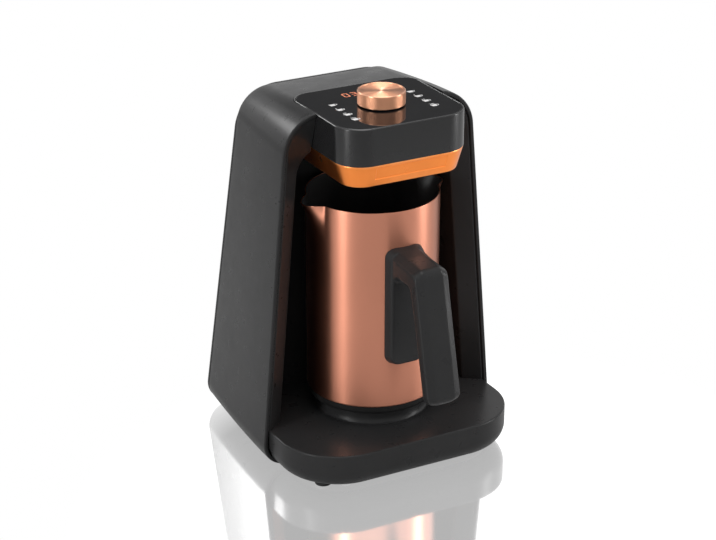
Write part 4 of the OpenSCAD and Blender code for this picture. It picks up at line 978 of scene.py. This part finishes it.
# ---- rubber feet with a grooved sole
FOOT_R, REAR_FOOT_IN, REAR_FOOT_BACK = 6.0, 12, 18
foot_x, foot_front = high("rubber_feet")[0] - FOOT_R, low("rubber_feet")[1] + FOOT_R
rear_x, foot_rear = foot_x - REAR_FOOT_IN, y_back - REAR_FOOT_BACK
profile = [(AXIS_R, 0.35), (3.2, 0.35), (3.5, 0.0), (5.2, 0.0), (5.6, 0.15), (5.95, 0.7),
           (FOOT_R, 1.9), (5.8, 2.25), (AXIS_R, 2.25)]
feet = []
places = ((-foot_x, foot_front), (foot_x, foot_front), (-rear_x, foot_rear), (rear_x, foot_rear))
for x, y in places:
    foot = lathe("rubber", profile, y, 48)
    foot.data.transform(Matrix.Translation(Vector((x * MM, 0, 0))))
    feet.append(foot)
pads = joined(feet)
pads.name = "foot_pads"
piece(pads, "machine", "rubber", "rubber_feet")

# ---- stage, light and camera
FLOOR_HALF, FLOOR_TONE, MIRROR_TONE, MIRROR_ROUGH = 3000, 0.8, 0.93, 0.07
MIRROR_GLOW, PALE_GLOW, AMBIENT, CARD_GLOW = 0.45, 0.08, 0.4, 0.16
MIRROR_SHIFT, MIRROR_NEAR, MIRROR_FAR = (0.0, 0.14, 0.0), 0.21, 0.27


def grey(tone):
    return (tone, tone, tone, 1)


def empty_tree(owner, output):
    """Empties the node tree of a material or world; gives the tree and its surface socket."""
    owner.use_nodes = True
    owner.node_tree.nodes.clear()
    return owner.node_tree, add(owner.node_tree, output).inputs["Surface"]


def linked(tree, kind, *values, **settings):
    """A node whose first sockets take the given outputs."""
    node = add(tree, kind, **settings)
    for socket, value in enumerate(values):
        tree.links.new(value, node.inputs[socket])
    return node


def shone(tree, strength, kind="ShaderNodeEmission"):
    return add(tree, kind, in_Color=grey(1), in_Strength=strength).outputs[0]


def ray(tree, *kinds):
    """One for rays of the given kinds, through Light Path; nothing for the rest."""
    path = add(tree, "ShaderNodeLightPath")
    found = path.outputs[kinds[0]]
    for kind in kinds[1:]:
        found = linked(tree, "ShaderNodeMath", found, path.outputs[kind],
                       operation="MAXIMUM").outputs[0]
    return found


# The camera sees the floor as a pale mirror near the object and as plain white further away.
# Metal and glass see it as a white matt floor with the object's shadow on it.
floor = new_object("floor", at_z(rectangle(FLOOR_HALF, -FLOOR_HALF, FLOOR_HALF), 0), [(0, 1, 2, 3)])
material = bpy.data.materials.new("floor_white")
tree, shown = empty_tree(material, "ShaderNodeOutputMaterial")
matt = add(tree, "ShaderNodeBsdfDiffuse", in_Color=grey(FLOOR_TONE)).outputs[0]
mirror = add(tree, "ShaderNodeBsdfGlossy", in_Color=grey(MIRROR_TONE), in_Roughness=MIRROR_ROUGH)
near = linked(tree, "ShaderNodeAddShader", mirror.outputs[0], shone(tree, MIRROR_GLOW)).outputs[0]
place = add(tree, "ShaderNodeTexCoord").outputs["Object"]
moved = linked(tree, "ShaderNodeVectorMath", place, operation="ADD")
moved.inputs[1].default_value = MIRROR_SHIFT
distance = linked(tree, "ShaderNodeVectorMath", moved.outputs[0], operation="LENGTH")
away = ranged(tree, distance.outputs["Value"], 0.0, 1.0, MIRROR_NEAR, MIRROR_FAR)
seen = linked(tree, "ShaderNodeMixShader", away, near, shone(tree, 1.0)).outputs[0]
pale = linked(tree, "ShaderNodeAddShader", matt, shone(tree, PALE_GLOW)).outputs[0]
in_metal = ray(tree, "Is Glossy Ray", "Is Transmission Ray")
reflected = linked(tree, "ShaderNodeMixShader", in_metal, matt, pale).outputs[0]
whole = linked(tree, "ShaderNodeMixShader", ray(tree, "Is Camera Ray"), reflected, seen)
tree.links.new(whole.outputs[0], shown)
floor.data.materials.append(material)

world = bpy.data.worlds.new("studio")
bpy.context.scene.world = world
tree, shown = empty_tree(world, "ShaderNodeOutputWorld")
white_rays = ray(tree, "Is Camera Ray", "Is Glossy Ray", "Is Transmission Ray")
whole = linked(tree, "ShaderNodeMixShader", white_rays,
               shone(tree, AMBIENT, "ShaderNodeBackground"),
               shone(tree, 1.0, "ShaderNodeBackground"))
tree.links.new(whole.outputs[0], shown)


def softbox(name, place, aim, width, height, power):
    """Rectangular lamp at a place in metres, turned towards its aim."""
    light = bpy.data.lights.new(name, "AREA")
    light.shape = "RECTANGLE"
    light.size, light.size_y = width, height
    light.energy = power
    obj = bpy.data.objects.new(name, light)
    bpy.context.scene.collection.objects.link(obj)
    obj.location = place
    obj.rotation_euler = (Vector(aim) - Vector(place)).to_track_quat("-Z", "Y").to_euler()
    return obj


softbox("key_left", (-0.58, 1.09, 0.81), (-0.07, 0.04, 0.24), 0.5, 0.35, 6).visible_diffuse = False
softbox("strip_left", (-0.87, -0.2, 0.3), (0, -0.05, 0.1), 0.16, 0.9, 4.2)
softbox("strip_right", (0.79, -0.43, 0.3), (0, -0.05, 0.1), 0.2, 0.9, 4.4)
softbox("overhead", (0.0, -0.25, 1.6), (0, 0, 0.1), 0.9, 0.9, 8)
softbox("knob_glow", (0.27, 0.5, 1.1), (0, -0.06, 0.26), 0.35, 0.35, 2.6).visible_diffuse = False

# Dark card that the glass and the top mirror. Only reflections show it.
CARD = [(-40, 240, 320), (440, 240, 320), (440, 640, 660), (-40, 640, 660)]
card = new_object("card", CARD, [(0, 1, 2, 3)])
material = bpy.data.materials.new("card_dark")
tree, shown = empty_tree(material, "ShaderNodeOutputMaterial")
tree.links.new(shone(tree, CARD_GLOW), shown)
card.data.materials.append(material)
card.visible_camera = card.visible_diffuse = False
card.visible_shadow = card.visible_transmission = False

AZ, EL = math.radians(-28.469), math.radians(23.182)
DISTANCE, FOCAL_PX, IMAGE_W, SENSOR_W = 1570.44, 2223.27, 716, 36.0
target = Vector((0, y_front + 31.5, 122.34))
back = Vector((math.sin(AZ) * math.cos(EL), -math.cos(AZ) * math.cos(EL), math.sin(EL)))
camera = bpy.data.objects.new("camera", bpy.data.cameras.new("camera"))
bpy.context.scene.collection.objects.link(camera)
camera.location = (target + back * DISTANCE) * MM
camera.rotation_euler = (-back).to_track_quat("-Z", "Y").to_euler()
camera.data.sensor_width = SENSOR_W
camera.data.lens = SENSOR_W * FOCAL_PX / IMAGE_W
bpy.context.scene.camera = camera
bpy.context.scene.view_settings.view_transform = "Standard"
